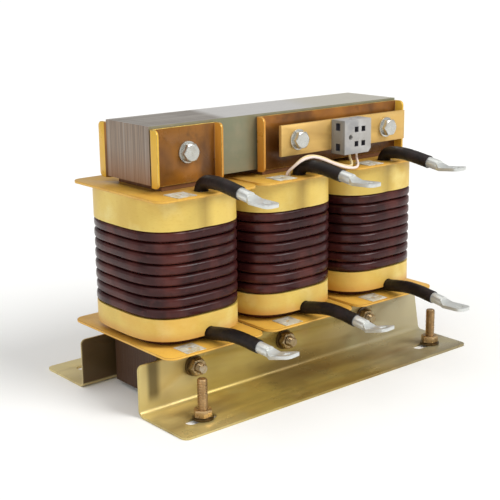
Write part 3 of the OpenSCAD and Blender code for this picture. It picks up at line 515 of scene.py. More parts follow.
def varnished(name, base):
    """Amber varnish over plated sheet: dark pools, red and orange runs, a soft shine"""
    material = finish(name, base, 0.36, metallic=0.1, coat_weight=0.2, coat_roughness=0.22,
                      specular_ior_level=0.35)
    mottled(material, VARNISH_ORANGE, 0.5, 20, 0.5, 0.66, shift=(8, 2, 3))
    mottled(material, VARNISH_DARK, 0.7, 26, 0.46, 0.7, stretch=(1, 1, 0.6))
    mottled(material, VARNISH_RED, 0.7, 16, 0.48, 0.7, shift=(5, 0, 3))
    mottled(material, VARNISH_DARK, 0.4, 90, 0.56, 0.72, shift=(1, 6, 2))
    gloss(material, 0.26, 0.5, 40, 0.35, 0.7)
    relief(material, 0.12 * MM, 70, 0.3, 0.75, stretch=(1, 1, 0.4))
    return material


def bent_ends(material):
    """The bent ends are a brighter orange, partly painted light, and where they are the core's own ends the
    varnish is thin
    """
    for outward in (-1, 1):
        bent = zoned(material, (0, outward, 0), CLAMP_WEB_FACE, CLAMP_WEB_FACE + BEND_FADE)
        tint(material, bent, VARNISH_LIT, 0.8)
        for end in (-1, 1):
            thin = product(material, bent, zoned(material, (end, 0, 0), *END_CLAMP_REACH))
            tint(material, thin, VARNISH_THIN, 0.9)
    return material


amber = bent_ends(varnished("amber_varnish", VARNISH))
red_amber = varnished("red_amber_varnish", VARNISH_BROWN)
# Partly darker varnish, partly painted shadow of the bar: the right clamps go dark below their top edge.
shaded(red_amber, VARNISH_SHADE, 0.68, DOWN, *TOP_EDGE_RISE)
bent_ends(red_amber)
# Painted shade: the lower clamps take a darker, duller copy of the varnish.
shaded_amber = varnished("shaded_varnish", VARNISH_IN_SHADE)
amber_edge = cut_edge("varnished_edge", VARNISHED_EDGE)
for node, coat in (
    ("front_left_clamp", amber),
    ("front_right_clamp", red_amber),
    ("rear_left_clamp", amber),
    ("rear_right_clamp", red_amber),
    ("lower_front_clamp", shaded_amber),
    ("lower_rear_clamp", shaded_amber),
):
    rounded_copy(node, "folded_" + node, "clamp_sheet", EDGE_ROUND, coat, amber_edge)

# Coils: eight turns of dark enamelled and varnished strand on each, wound round over an inner layer
# of like turns. The strand's ends butt against small packers at the rear middle.
SQUARENESS = 3.3
TURNS = 8
STRAND_THICKNESS = 6 * MM
TURN_GAP = 0.76 * MM
LAYER_GAP = 0.15 * MM
SEAT_GAP = 0.1 * MM
CORNER_SHARE = 0.43
CORNER_STEPS = 4
LOOP_POINTS = 96
SWEEP_ANGLE = 50
START_ANGLE = 120
START_BEND = 105
END_ANGLE = 60
END_BEND = 75
WAVER_COUNTS = (2, 3, 5)
WAVER_SIZES = (0.03, 0.1)
ENAMEL = "#371515"
ENAMEL_LIGHT = "#5e2e28"
ENAMEL_DARK = "#190b0b"
INNER_ENAMEL = "#4a2620"
INNER_LIGHT = "#6e3c2c"
INNER_DARK = "#22100c"
flange_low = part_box("middle_upper_flange")[0]
COIL_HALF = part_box("middle_upper_band")[1].xy
COIL_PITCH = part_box("right_upper_flange")[0].x - flange_low.x
coil_base, coil_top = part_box("middle_lower_flange")[1].z, flange_low.z
inner_low, inner_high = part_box("middle_outer_winding")
strand_height = (inner_high.z - inner_low.z + TURN_GAP) / TURNS - TURN_GAP
strand_pitch = strand_height + TURN_GAP
winding_base = inner_low.z - TURN_GAP / 2


def coil_point(depth, angle, height):
    """A point of the coil's rounded oblong outline, at a depth below its surface"""
    power = 2 / SQUARENESS
    c, s = math.cos(math.radians(angle)), math.sin(math.radians(angle))
    return Vector((math.copysign(abs(c) ** power * (COIL_HALF.x - depth), c),
                   math.copysign(abs(s) ** power * (COIL_HALF.y - depth), s), height))


def curve_of(name, path, closed=False, radii=None):
    line = bpy.data.curves.new(name, "CURVE")
    line.dimensions = "3D"
    spline = line.splines.new("POLY")
    spline.points.add(len(path) - 1)
    for i, place in enumerate(path):
        spline.points[i].co = (*place, 1)
        if radii:
            spline.points[i].radius = radii[i]
    spline.use_cyclic_u = closed
    piece = bpy.data.objects.new(name, line)
    bpy.context.scene.collection.objects.link(piece)
    return piece


def solid_of(piece, angle):
    """Turns a curve into a closed mesh, smooth up to an angle"""
    pick(piece)
    bpy.ops.object.convert(target="MESH")
    bpy.ops.object.mode_set(mode="EDIT")
    bpy.ops.mesh.select_all(action="SELECT")
    bpy.ops.mesh.remove_doubles(threshold=WELD_REACH)
    bpy.ops.mesh.normals_make_consistent(inside=False)
    bpy.ops.object.mode_set(mode="OBJECT")
    return smoothed(piece, angle)


def swept(name, path, section, closed=False):
    """Draws an upright section along a path and closes its ends"""
    piece = curve_of(name, path, closed)
    profile = curve_of(name + "_section", [(x, y, 0) for x, y in section], True)
    profile.data.dimensions = "2D"
    piece.data.twist_mode = "Z_UP"
    piece.data.bevel_mode = "OBJECT"
    piece.data.bevel_object = profile
    piece.data.use_fill_caps = not closed
    solid_of(piece, SWEEP_ANGLE)
    bpy.data.objects.remove(profile)
    return piece


def rounded_section(width, height, corner):
    """An oblong with round corners, about the middle"""
    points = []
    for quarter, (x, y) in enumerate(((1, 1), (-1, 1), (-1, -1), (1, -1))):
        for i in range(CORNER_STEPS + 1):
            angle = math.radians(90 * (quarter + i / CORNER_STEPS))
            points.append((x * (width / 2 - corner) + corner * math.cos(angle),
                           y * (height / 2 - corner) + corner * math.sin(angle)))
    return points


def stub(depth, angle, bend, height):
    """Where a strand's straight end stops, beyond its last bend"""
    start = coil_point(depth, angle, height)
    run = (coil_point(depth, bend, height) - start).normalized()
    return start + run * strand_height


def strand_path(depth, base, turns, seed):
    """Flat loops that climb one pitch across the rear middle, with a slight hand-wound waver"""
    draw = random.Random(seed)
    waves = [[(draw.uniform(0, 360), draw.choice(WAVER_COUNTS), draw.uniform(*WAVER_SIZES) * MM)
              for _ in range(3)] for _ in range(turns)]
    path = [stub(depth, START_ANGLE, START_BEND, base + strand_pitch / 2)]
    for turn in range(turns):
        height = base + (turn + 0.5) * strand_pitch
        first = START_ANGLE if turn == 0 else START_BEND
        last = 360 + (END_ANGLE if turn == turns - 1 else END_BEND)
        steps = round((last - first) * LOOP_POINTS / 360)
        for i in range(steps + 1):
            angle = first + (last - first) * i / steps
            waver = sum(size * math.sin(math.radians(count * angle + phase))
                        for phase, count, size in waves[turn])
            path.append(coil_point(depth + waver, angle, height + 0.5 * waver))
    path.append(stub(depth, END_ANGLE, END_BEND, base + (turns - 0.5) * strand_pitch))
    return path


def enamelled(name, base, light, dark):
    """Enamelled copper under varnish: glossy, cloudy, with darker runs and small dull patches"""
    material = finish(name, base, 0.34, coat_weight=0.3, coat_roughness=0.2, specular_ior_level=0.12)
    mottled(material, light, 0.7, 35, 0.45, 0.7, stretch=(1, 1, 0.5))
    mottled(material, dark, 0.6, 60, 0.5, 0.72, shift=(2, 7, 1))
    mottled(material, light, 0.35, 220, 0.55, 0.75)
    gloss(material, 0.26, 0.5, 50, 0.35, 0.7, shift=(5, 3, 3))
    relief(material, 0.1 * MM, 120, 0.3, 0.7, stretch=(1, 1, 0.5))
    return material


def on_each_coil(piece, name, node):
    """Copies a piece of the middle coil to the other two, each with its own mesh"""
    for i, side in enumerate(SIDES):
        twin = piece if side == "middle" else twin_of(piece)
        twin.location.x = (i - 1) * COIL_PITCH
        twin.name = f"{side}_{name}"
        settled(twin, f"{side}_{node}")


enamel = enamelled("enamelled_strand", ENAMEL, ENAMEL_LIGHT, ENAMEL_DARK)
inner_enamel = enamelled("inner_enamel", INNER_ENAMEL, INNER_LIGHT, INNER_DARK)
strand_section = rounded_section(STRAND_THICKNESS, strand_height, CORNER_SHARE * STRAND_THICKNESS)
turns = swept("turns", strand_path(STRAND_THICKNESS / 2, winding_base, TURNS, 5), strand_section)
on_each_coil(surfaced(turns, enamel), "turns", "outer_winding")
inner_count = int((coil_top - coil_base) / strand_pitch)
inner_path = strand_path(1.5 * STRAND_THICKNESS + LAYER_GAP, coil_base, inner_count, 8)
inner_turns = swept("inner_turns", inner_path, strand_section)
on_each_coil(surfaced(inner_turns, inner_enamel), "inner_turns", "inner_winding")

# Insulating bands: varnished tape built up to the turns' thickness above and below them, soft at
# the edges, with laps that show as faint steps and a crease at the front middle of each coil. The
# crease is painted darker as painted shade, and the lower bands go red-brown towards their foot,
# partly soaked varnish and partly painted contact shadow.
TAPE = "#dec164"
TAPE_DEEP = "#c29a40"
TAPE_PALE = "#e8d890"
TAPE_CREASE_SHADE = "#8a6a2c"
BAND_EDGE = 0.9 * MM
TAPE_LAP = 4.6 * MM
LAP_STEP = 0.12 * MM
SOFT_SHARE = 0.3
CREASE_WIDTH = 5 * MM
CREASE_DEPTH = 0.9 * MM
UPPER_CREASE = -1 * MM
NO_CREASE = math.inf
BAND_SWELL = 0.12 * MM
SWELL_COUNTS = (3, 4, 5, 6)
SWELL_PHASES = (0, 6.28)
SWELL_SLANT = 90
LEAD_OFFSET = 2 * MM
LOWER_LEAD_RISE = 6.3 * MM
SLEEVE_RADIUS = 5.4 * MM
SLEEVE_PLAY = 0.4 * MM
PACKER_WIDTH = STRAND_THICKNESS
PACKER_GAP_SHARE = 0.1
PACKER_ROUND = 0.6 * MM
SOAKED_SHADED_TAPE = "#b86a24"
SOAKED_PALE = "#d8a444"
SOAKED_SHADED_RISE = (-66 * MM, -56.5 * MM)


def band_section(height):
    """Section of a band: a soft-edged oblong whose outer side has the tape's laps"""
    laps = max(2, round(height / TAPE_LAP))
    half, top = STRAND_THICKNESS / 2, height / 2
    softened = SOFT_SHARE * BAND_EDGE
    points = [(-half, -top), (half - BAND_EDGE, -top), (half - softened, softened - top)]
    for lap in range(laps):
        low = -top + BAND_EDGE + (height - 2 * BAND_EDGE) * lap / laps
        high = -top + BAND_EDGE + (height - 2 * BAND_EDGE) * (lap + 1) / laps
        points += [(half, low), (half - SOFT_SHARE * LAP_STEP, (low + high) / 2)]
        points.append((half - LAP_STEP, high - LAP_STEP))
    points += [(half - softened, top - softened), (half - BAND_EDGE, top), (-half, top)]
    return points


def band(name, base, top, crease, seed):
    """A closed band around the coil, with a slow swell and a crease at one place in front"""
    path = [coil_point(STRAND_THICKNESS / 2, 360 * i / LOOP_POINTS, (base + top) / 2)
            for i in range(LOOP_POINTS)]
    section = [(-x, y) for x, y in band_section(top - base)]
    piece = swept(name, path, section, closed=True)
    draw = random.Random(seed)
    phases = [draw.uniform(*SWELL_PHASES) for _ in SWELL_COUNTS]
    folds = [0.0] * len(piece.data.vertices)
    for vertex in piece.data.vertices:
        x, y, z = vertex.co
        angle = math.atan2(y, x)
        swell = sum(math.sin(count * angle + phase + SWELL_SLANT * z)
                    for count, phase in zip(SWELL_COUNTS, phases)) / len(SWELL_COUNTS)
        outward = Vector((x / COIL_HALF.x, y / COIL_HALF.y, 0)).normalized()
        fold = max(0.0, 1 - abs(x - crease) / CREASE_WIDTH) if y < 0 else 0.0
        folds[vertex.index] = fold * fold * (3 - 2 * fold)
        vertex.co -= outward * (BAND_SWELL * (1 + swell) + CREASE_DEPTH * folds[vertex.index])
    piece.data.attributes.new("fold", "FLOAT", "POINT").data.foreach_set("value", folds)
    return piece


def packer(angle, bend, base, top):
    """The small block at the rear that a strand's end butts against"""
    start = coil_point(STRAND_THICKNESS / 2, angle, (base + top) / 2)
    run = (coil_point(STRAND_THICKNESS / 2, bend, (base + top) / 2) - start).normalized()
    middle = start + run * (strand_height + SEAT_GAP + PACKER_WIDTH / 2)
    bpy.ops.object.select_all(action="DESELECT")
    bpy.ops.mesh.primitive_cube_add(size=1, location=middle, rotation=(0, 0, math.atan2(run.y, run.x)),
                                    scale=(PACKER_WIDTH, STRAND_THICKNESS, top - base))
    return rounded_edges(placed(bpy.context.object), PACKER_ROUND)


def joined(name, pieces, *materials):
    """Joins pieces into one, with these materials"""
    bpy.ops.object.select_all(action="DESELECT")
    for piece in pieces:
        piece.select_set(True)
    bpy.context.view_layer.objects.active = pieces[0]
    bpy.ops.object.join()
    pieces[0].name = name
    return surfaced(pieces[0], *materials)


def cut_by(piece, cutter, operation="DIFFERENCE"):
    modified(piece, "BOOLEAN", operation=operation, object=cutter, solver="EXACT")
    bpy.data.objects.remove(cutter)
    return piece


tape = finish("varnished_tape", TAPE, 0.45, coat_weight=0.12, coat_roughness=0.25, specular_ior_level=0.3)
mottled(tape, TAPE_DEEP, 0.5, 28, 0.42, 0.7, stretch=(1, 1, 0.5))
mottled(tape, TAPE_PALE, 0.6, 40, 0.5, 0.75, shift=(1, 4, 9))
mottled(tape, TAPE_DEEP, 0.25, 300, 0.52, 0.75, stretch=(1, 1, 3))
relief(tape, 0.06 * MM, 260, 0.3, 0.7, stretch=(0.6, 0.6, 2))
folded = tape.node_tree.nodes.new("ShaderNodeAttribute")
folded.attribute_name = "fold"
# Painted shade: the band darkens in its crease.
tint(tape, folded.outputs["Fac"], TAPE_CREASE_SHADE, 0.55)
lower_tape = tape.copy()
lower_tape.name = "soaked_and_shaded_tape"
# Partly soaked varnish, partly painted contact shadow: the lower bands go red-brown towards their foot.
shaded(lower_tape, SOAKED_SHADED_TAPE, 0.55, DOWN, *SOAKED_SHADED_RISE)
mottled(lower_tape, SOAKED_PALE, 0.6, 20, 0.45, 0.7, shift=(6, 1, 1))
winding_top = inner_high.z + TURN_GAP / 2
packer_height = strand_pitch - PACKER_GAP_SHARE * strand_height
upper_wrap = band("upper_wrap", winding_top, coil_top, UPPER_CREASE, 21)
upper_packer = packer(END_ANGLE, END_BEND, winding_top - packer_height, winding_top)
upper_band = joined("upper_band", [upper_wrap, upper_packer], tape)
on_each_coil(upper_band, "upper_wrap", "upper_band")

lower_wrap = band("lower_wrap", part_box("middle_lower_band")[0].z, winding_base, NO_CREASE, 34)
bpy.ops.mesh.primitive_cylinder_add(vertices=32, radius=SLEEVE_RADIUS + SLEEVE_PLAY, depth=COIL_HALF.y,
                                    location=(LEAD_OFFSET, -COIL_HALF.y, coil_base + LOWER_LEAD_RISE),
                                    rotation=(math.radians(90), 0, 0))
cut_by(lower_wrap, bpy.context.object)
lower_packer = packer(START_ANGLE, START_BEND, winding_base, winding_base + packer_height)
lower_band = joined("lower_band", [lower_wrap, lower_packer], lower_tape)
on_each_coil(lower_band, "lower_wrap", "lower_band")

# Coil formers: square tubes of varnished board that the coils are wound on, and flat flanges of the
# same board at both ends, with rounded corners and edges that have worn browner.
BOARD = "#dcac48"
BOARD_DEEP = "#a06a26"
BOARD_PALE = "#e8c468"
BOARD_WORN = "#c8923a"
BOARD_LIT = "#f6c254"
LOWER_FLANGE_RISE = (-70 * MM, -60 * MM)
FLANGE_ROUND = 0.4 * MM


def varnished_board(name, base):
    material = finish(name, base, 0.4, coat_weight=0.12, coat_roughness=0.2, specular_ior_level=0.3)
    mottled(material, BOARD_DEEP, 0.6, 18, 0.42, 0.68)
    mottled(material, BOARD_PALE, 0.4, 45, 0.52, 0.74, shift=(3, 3, 8))
    mottled(material, BOARD_DEEP, 0.2, 500, 0.48, 0.7)
    gloss(material, 0.28, 0.5, 35, 0.35, 0.7)
    relief(material, 0.1 * MM, 60, 0.3, 0.7)
    return material


board = varnished_board("varnished_board", BOARD)
# Painted light: the lower flanges are painted lighter.
shaded(board, BOARD_LIT, 0.45, DOWN, *LOWER_FLANGE_RISE)
worn_board = varnished_board("worn_board_edge", BOARD_WORN)
for side in SIDES:
    dress(side + "_former_tube", board)
    for level in ("upper", "lower"):
        node = f"{side}_{level}_flange"
        rounded_copy(node, "board_" + node, "flange_board", FLANGE_ROUND, board, worn_board)

# Clamping bolts: hexagon heads turned down at their corners, nuts of the same bar, flat washers and
# thread ends that stand out of the nuts. Bright zinc above, yellow zinc with dark washers below.
BOLT_RADIUS = 4 * MM
NUT_WIDTH = 13 * MM
NUT_HEIGHT = 6.5 * MM
HEAD_HEIGHT = 5.3 * MM
WASHER = 1.6 * MM
THREAD_PITCH = 1.25 * MM
THREAD_DEPTH = 0.6 * MM
THREAD_END = 5.4 * MM
BOLT_THREAD = 14 * MM
THREAD_WELD = 0.01 * MM
CUT_FINENESS = 0.001 * MM
CHAMFER_SLOPE = math.tan(math.radians(30))
CORNER_REACH = NUT_WIDTH / 2 / math.cos(math.radians(30))
FACE_RADIUS = 0.47 * NUT_WIDTH
THREAD_STEPS = 24
FACET_ANGLE = 30
HEXAGON_ANGLE = 25
HEXAGON_ROUND = 0.15 * MM
WASHER_ROUND = 0.25 * MM
TIP_DROP = 0.2 * MM
THREAD_PLAY = 0.1 * MM
ZINC_BRIGHT = "#c8c8c2"
ZINC_YELLOW = "#a89470"
ZINC_DARK = "#5c4a2c"
ZINC_WHITE = "#ecece8"


def hexagon(height, is_nut):
    """A head or a bored nut standing on the origin, its corners cut by cones"""
    bpy.ops.object.select_all(action="DESELECT")
    bpy.ops.mesh.primitive_cylinder_add(vertices=6, radius=CORNER_REACH, depth=height,
                                        location=(0, 0, height / 2), rotation=(0, 0, math.radians(30)))
    piece = placed(bpy.context.object)
    reach = 4 * height
    for upside_down in ([False, True] if is_nut else [False]):
        bpy.ops.mesh.primitive_cone_add(vertices=64, radius1=FACE_RADIUS + reach / CHAMFER_SLOPE,
                                        radius2=FACE_RADIUS, depth=reach, location=(0, 0, height - reach / 2))
        cone = bpy.context.object
        if upside_down:
            cone.rotation_euler = (math.pi, 0, 0)
            cone.location.z = reach / 2
        cut_by(piece, cone, "INTERSECT")
    if is_nut:
        bpy.ops.mesh.primitive_cylinder_add(vertices=48, radius=BOLT_RADIUS, depth=3 * height)
        cut_by(piece, bpy.context.object)
    return rounded_edges(piece, HEXAGON_ROUND, angle=HEXAGON_ANGLE)


def thread(length):
    """A real helical thread standing on the origin, cut square below and chamfered on top"""
    root, flank = BOLT_RADIUS - THREAD_DEPTH, THREAD_PITCH / 8
    outline = [(root, 0), (BOLT_RADIUS, 3 * flank), (BOLT_RADIUS, 4 * flank), (root, 7 * flank),
               (root, 8 * flank)]
    piece = curve_of("thread", [(x, 0, z - THREAD_PITCH) for x, z in outline])
    pick(piece)
    bpy.ops.object.convert(target="MESH")
    modified(piece, "SCREW", angle=2 * math.pi, screw_offset=THREAD_PITCH, steps=THREAD_STEPS,
             render_steps=THREAD_STEPS, iterations=math.ceil(length / THREAD_PITCH) + 2)
    bpy.ops.object.mode_set(mode="EDIT")
    bpy.ops.mesh.select_all(action="SELECT")
    bpy.ops.mesh.remove_doubles(threshold=THREAD_WELD)
    for height in (0, length):
        bpy.ops.mesh.bisect(plane_co=(0, 0, height), plane_no=(0, 0, 1), use_fill=True,
                            clear_inner=height == 0, clear_outer=height > 0, threshold=CUT_FINENESS)
        bpy.ops.mesh.select_all(action="SELECT")
    bpy.ops.mesh.normals_make_consistent(inside=False)
    bpy.ops.object.mode_set(mode="OBJECT")
    bpy.ops.mesh.primitive_cone_add(vertices=48, radius1=root + 2 * length, radius2=root - TIP_DROP,
                                    depth=2 * length, location=(0, 0, 0))
    return smoothed(cut_by(piece, bpy.context.object, "INTERSECT"), FACET_ANGLE)


def shank(length, tip):
    """A bolt's shaft from the origin up, that ends in a copy of a threaded tip"""
    plain = length - tip.dimensions.z
    bpy.ops.object.select_all(action="DESELECT")
    bpy.ops.mesh.primitive_cylinder_add(vertices=32, radius=BOLT_RADIUS - THREAD_PLAY,
                                        depth=plain + 2 * THREAD_PLAY,
                                        location=(0, 0, plain / 2 + THREAD_PLAY))
    end = twin_of(tip)
    end.location.z = plain
    return joined("bolt_shaft", [placed(bpy.context.object), end])


def along_y(piece, x, y, z, towards):
    """Lays an upright piece along Y, its foot at a place and its top towards the front or rear"""
    piece.matrix_world = Matrix.Translation((x, y, z)) @ Matrix.Rotation(math.radians(-90 * towards), 4, "X")
    return placed(piece)


def three_places(low, high):
    """Where three bolts stand along a box that their heads fill"""
    first, last = low.x + CORNER_REACH, high.x - CORNER_REACH
    return [first, (first + last) / 2, last]


def plated(name, base, roughness=0.26):
    material = finish(name, base, roughness, metallic=0.85)
    mottled(material, ZINC_BROWN, 0.25, 120, 0.5, 0.75)
    mottled(material, ZINC_WHITE, 0.4, 60, 0.55, 0.75, shift=(9, 1, 2))
    gloss(material, roughness - 0.06, roughness + 0.15, 150, 0.35, 0.7)
    relief(material, 0.02 * MM, 500, 0.3, 0.7)
    return material


bright_zinc = plated("bright_zinc", ZINC_BRIGHT)
yellow_zinc = plated("yellow_zinc", ZINC_YELLOW)
dark_zinc = plated("dark_zinc", ZINC_DARK, 0.36)
upper_low, upper_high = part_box("upper_clamp_bolts")
rail_low, rail_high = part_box("rail_bolts")
upper_z, rail_z = (upper_low.z + upper_high.z) / 2, (rail_low.z + rail_high.z) / 2
clamp_face = abs(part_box("bar_spacers")[1].y)
bar_front = abs(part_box("terminal_bar")[0].y)
rail_seat = rail_high.y - HEAD_HEIGHT
head = hexagon(HEAD_HEIGHT, False)
nut = hexagon(NUT_HEIGHT, True)
bolt_tip = thread(BOLT_THREAD)

upper_places, rail_places = three_places(upper_low, upper_high), three_places(rail_low, rail_high)
upper_bolts, rail_bolts = [], []
for i, x in enumerate(upper_places):
    seat = -(clamp_face if i == 0 else bar_front) - WASHER
    upper_bolts.append(along_y(twin_of(head), x, seat, upper_z, -1))
    upper_bolts.append(along_y(shank(upper_high.y - seat, bolt_tip), x, seat, upper_z, 1))
for x in rail_places:
    rail_bolts.append(along_y(twin_of(head), x, rail_seat, rail_z, 1))
    rail_bolts.append(along_y(shank(rail_seat - rail_low.y, bolt_tip), x, rail_seat, rail_z, -1))
nuts = [along_y(twin_of(nut), x, clamp_face + WASHER, upper_z, 1) for x in upper_places]
nuts += [along_y(twin_of(nut), x, rail_low.y + THREAD_END + NUT_HEIGHT, rail_z, -1) for x in rail_places]
for name, pieces, zinc, node in (
    ("hexagon_bolts_upper", upper_bolts, bright_zinc, "upper_clamp_bolts"),
    ("hexagon_bolts_rail", rail_bolts, yellow_zinc, "rail_bolts"),
    ("hexagon_nuts", nuts, yellow_zinc, "clamp_nuts"),
):
    settled(smoothed(joined(name, pieces, zinc), FACET_ANGLE), node)
washers = merged_copy("clamp_washers", "flat_washers", bright_zinc, dark_zinc)
for face in washers.data.polygons:
    face.material_index = 1 if face.center.z < upper_z / 2 else 0
settled(rounded_edges(washers, WASHER_ROUND), "clamp_washers")

# Fixing studs: threaded rods that stand up through the front foot's slots, each with a washer and a
# nut run down onto the foot. Their plating has turned brown.
ZINC_BROWNED = "#c0a174"
ZINC_RUSTED = "#745632"
stud_zinc = plated("brown_zinc", ZINC_BROWNED, 0.3)
mottled(stud_zinc, ZINC_RUSTED, 0.42, 70, 0.45, 0.7, shift=(3, 3, 3))
stud_low, stud_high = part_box("fixing_studs")
stud_y = (stud_low.y + stud_high.y) / 2
rod = thread(stud_high.z)
for name, model, base, node in (
    ("threaded_studs", rod, 0, "fixing_studs"),
    ("stud_nuts", nut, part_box("fixing_nuts")[0].z, "fixing_nuts"),
):
    pieces = []
    for x in (stud_low.x + BOLT_RADIUS, stud_high.x - BOLT_RADIUS):
        piece = twin_of(model)
        piece.location = (x, stud_y, base)
        pieces.append(placed(piece))
    settled(smoothed(joined(name, pieces, stud_zinc), FACET_ANGLE), node)
rounded_copy("fixing_washers", "stud_washers", "washer_steel", WASHER_ROUND, dark_zinc)
for spare in (head, nut, bolt_tip, rod):
    bpy.data.objects.remove(spare)

# Terminal bar: a flat strip in front of the long clamp, plated clear yellow. Two tube spacers hold it
# off, and the clamping bolts pass through both.
BAR_ZINC = "#dcb468"
SPACER_ROUND = 0.2 * MM
bar_zinc = passivated("bar_zinc", BAR_ZINC, 0.44, 0.25)
rounded_copy("terminal_bar", "flat_terminal_bar", "bar_sheet", EDGE_ROUND, bar_zinc, bare_edge)
rounded_copy("bar_spacers", "tube_spacers", "bar_sheet", SPACER_ROUND, bar_zinc)

# Terminal block: two poles in one grey moulding, with screw wells in front, wire entries below and
# recesses in its left side. Brass clamps and slotted screws sit inside.
BLOCK_GREY = "#a8a5a0"
BLOCK_SHADE = "#808288"
BLOCK_PALE = "#c6c6c4"
BLOCK_SHADED_SIDE = "#6c6a62"
WELL_GREY = "#4c4a50"
WELL_DARK = "#2c2b2e"
BRASS = "#b8924a"
BRASS_DARK = "#7a5c28"
LEFT_FACE = (-42.4 * MM, -42.1 * MM)
WELL_INSET = 0.2 * MM
FLATNESS = 0.99
BLOCK_ROUND = 0.4 * MM
SCREW_ROUND = 0.15 * MM
plastic = finish("grey_moulding", BLOCK_GREY, 0.48, specular_ior_level=0.45)
mottled(plastic, BLOCK_SHADE, 0.5, 60, 0.45, 0.7)
mottled(plastic, BLOCK_PALE, 0.5, 90, 0.55, 0.75, shift=(5, 5, 1))
relief(plastic, 0.02 * MM, 900, 0.3, 0.7)
# Painted shade: the block's left face is painted a darker grey.
shaded(plastic, BLOCK_SHADED_SIDE, 0.6, LEFT, *LEFT_FACE)
# Painted shade: the faces inside the wells and recesses take a darker moulding.
well_plastic = finish("shaded_moulding", WELL_GREY, 0.6)
mottled(well_plastic, WELL_DARK, 0.6, 200, 0.45, 0.7)
block = merged_copy("terminal_block", "moulded_block", plastic, well_plastic)
block_low, block_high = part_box("terminal_block")
for face in block.data.polygons:
    inside = min(min(face.center[i] - block_low[i], block_high[i] - face.center[i]) for i in range(3))
    if inside > WELL_INSET and max(abs(share) for share in face.normal) > FLATNESS:
        face.material_index = 1
settled(rounded_edges(block, BLOCK_ROUND), "terminal_block")
brass = finish("clamp_brass", BRASS, 0.3, metallic=0.9)
mottled(brass, BRASS_DARK, 0.4, 300, 0.45, 0.7)
dress("terminal_clamps", brass)
rounded_copy("terminal_screws", "slotted_screws", "screw_steel", SCREW_ROUND, bright_zinc)

# Thermal switch: a small pale capsule pushed into a pocket of the middle coil. Its two silicone
# wires run over the middle lead to the block, held at both ends.
WIRE_DIAMETER = 2.2 * MM
WIRE_STEPS = 6
TUBE_ANGLE = 60
SWITCH_SHELL = "#ddd8c8"
SWITCH_STAIN = "#b8b09a"
WHITE_SILICONE = "#f3e2d8"
WHITE_DEEP = "#d9bfae"
CREAM_SILICONE = "#ead5a2"
CREAM_DEEP = "#c8a870"
WHITE_ROUTE = [(64, -50.2, 185), (64, -50.2, 177), (60, -56, 172), (51, -62, 171), (40, -63, 172.5),
               (28, -62.6, 176.5), (17, -62, 181), (8, -61, 184), (2, -59.4, 184.6), (-4.6, -57, 182.8),
               (-8.8, -51.4, 177.2), (-9.8, -46.2, 172.6), (-9.8, -44.45, 169), (-9.8, -44.45, 163)]
CREAM_ROUTE = [(56, -50.2, 185), (56, -50.2, 178), (53.6, -55, 173.6), (47, -59.8, 172.4), (38, -60.4, 174.2),
               (27, -60, 178), (17, -59.4, 182.4), (8, -58.4, 185), (1.6, -56.8, 185.2), (-3.2, -54.6, 183),
               (-6.2, -50, 177.8), (-7.2, -45.6, 173), (-7.2, -44.45, 169), (-7.2, -44.45, 163)]


def smooth_path(points, steps):
    """A smooth line through given points"""
    ends = [2 * points[0] - points[1], *points, 2 * points[-1] - points[-2]]
    path = []
    for a, b, c, d in zip(ends, points, points[1:], ends[3:]):
        for step in range(steps):
            t = step / steps
            path.append((2 * b + (c - a) * t + (2 * a - 5 * b + 4 * c - d) * t * t
                         + (3 * b - a - 3 * c + d) * t * t * t) / 2)
    return [*path, points[-1]]


def round_tube(name, path, radius, radii=None, capped=True, fineness=5):
    piece = curve_of(name, path, radii=radii)
    piece.data.twist_mode = "MINIMUM"
    piece.data.bevel_depth = radius
    piece.data.bevel_resolution = fineness
    piece.data.use_fill_caps = capped
    return solid_of(piece, TUBE_ANGLE)


def silicone(name, base, deep):
    material = finish(name, base, 0.5, specular_ior_level=0.35)
    mottled(material, deep, 0.5, 80, 0.45, 0.7)
    relief(material, 0.03 * MM, 600, 0.3, 0.7)
    return material


shell = finish("switch_shell", SWITCH_SHELL, 0.4)
mottled(shell, SWITCH_STAIN, 0.4, 200, 0.45, 0.7)
dress("thermal_switch", shell)
for name, route, material in (
    ("white_wire", WHITE_ROUTE, silicone("white_silicone", WHITE_SILICONE, WHITE_DEEP)),
    ("cream_wire", CREAM_ROUTE, silicone("cream_silicone", CREAM_SILICONE, CREAM_DEEP)),
):
    line = smooth_path([Vector(p) * MM for p in route], WIRE_STEPS)
    wire = surfaced(round_tube(name, line, WIRE_DIAMETER / 2), material)
    settled(wire, "thermal_wires")

# Leads: a stranded conductor rises at the front of each coil or leaves it below, arches over inside
# a black shrunk sleeve, and ends in a crimped lug.
UPPER_ROUTE_SHARES = [(0, 0), (0, 0.28), (0.07, 0.74), (0.22, 0.97), (0.48, 1), (0.76, 0.86), (1, 0.68)]
LOWER_ROUTE_SHARES = [(0, 0), (0.12, 0.03), (0.32, 0.55), (0.56, 1), (0.8, 0.8), (1, 0.3)]
UPPER_REACH = 41 * MM
LOWER_REACH = 55 * MM
UPPER_REACH_SHARES = (0.98, 1, 1.14)
LOWER_REACH_SHARES = (0.96, 1.02, 1)
UPPER_ARCH = 10 * MM
LOWER_ARCH = 3 * MM
LOWER_ARCH_SHARES = (1, 1.3, 1)
UPPER_YAW = (3, 6, 1)
LOWER_YAW = (7, 5, 0)
UPPER_ROOT_INSET = 8 * MM
LEAD_STEPS = 10
END_STEPS = 4
SLEEVE_LAP = 4 * MM
SLEEVE_LUMPS = 0.035
SLEEVE_WALL = 0.8 * MM
CONDUCTOR_GRIP = 11 * MM
CONDUCTOR_RADIUS = 3.5 * MM
SLEEVE_BLACK = "#17100e"
SLEEVE_DUSTY = "#2c2020"
SLEEVE_DEEP = "#0c0908"
COPPER = "#b0623a"
COPPER_DARK = "#6e3418"


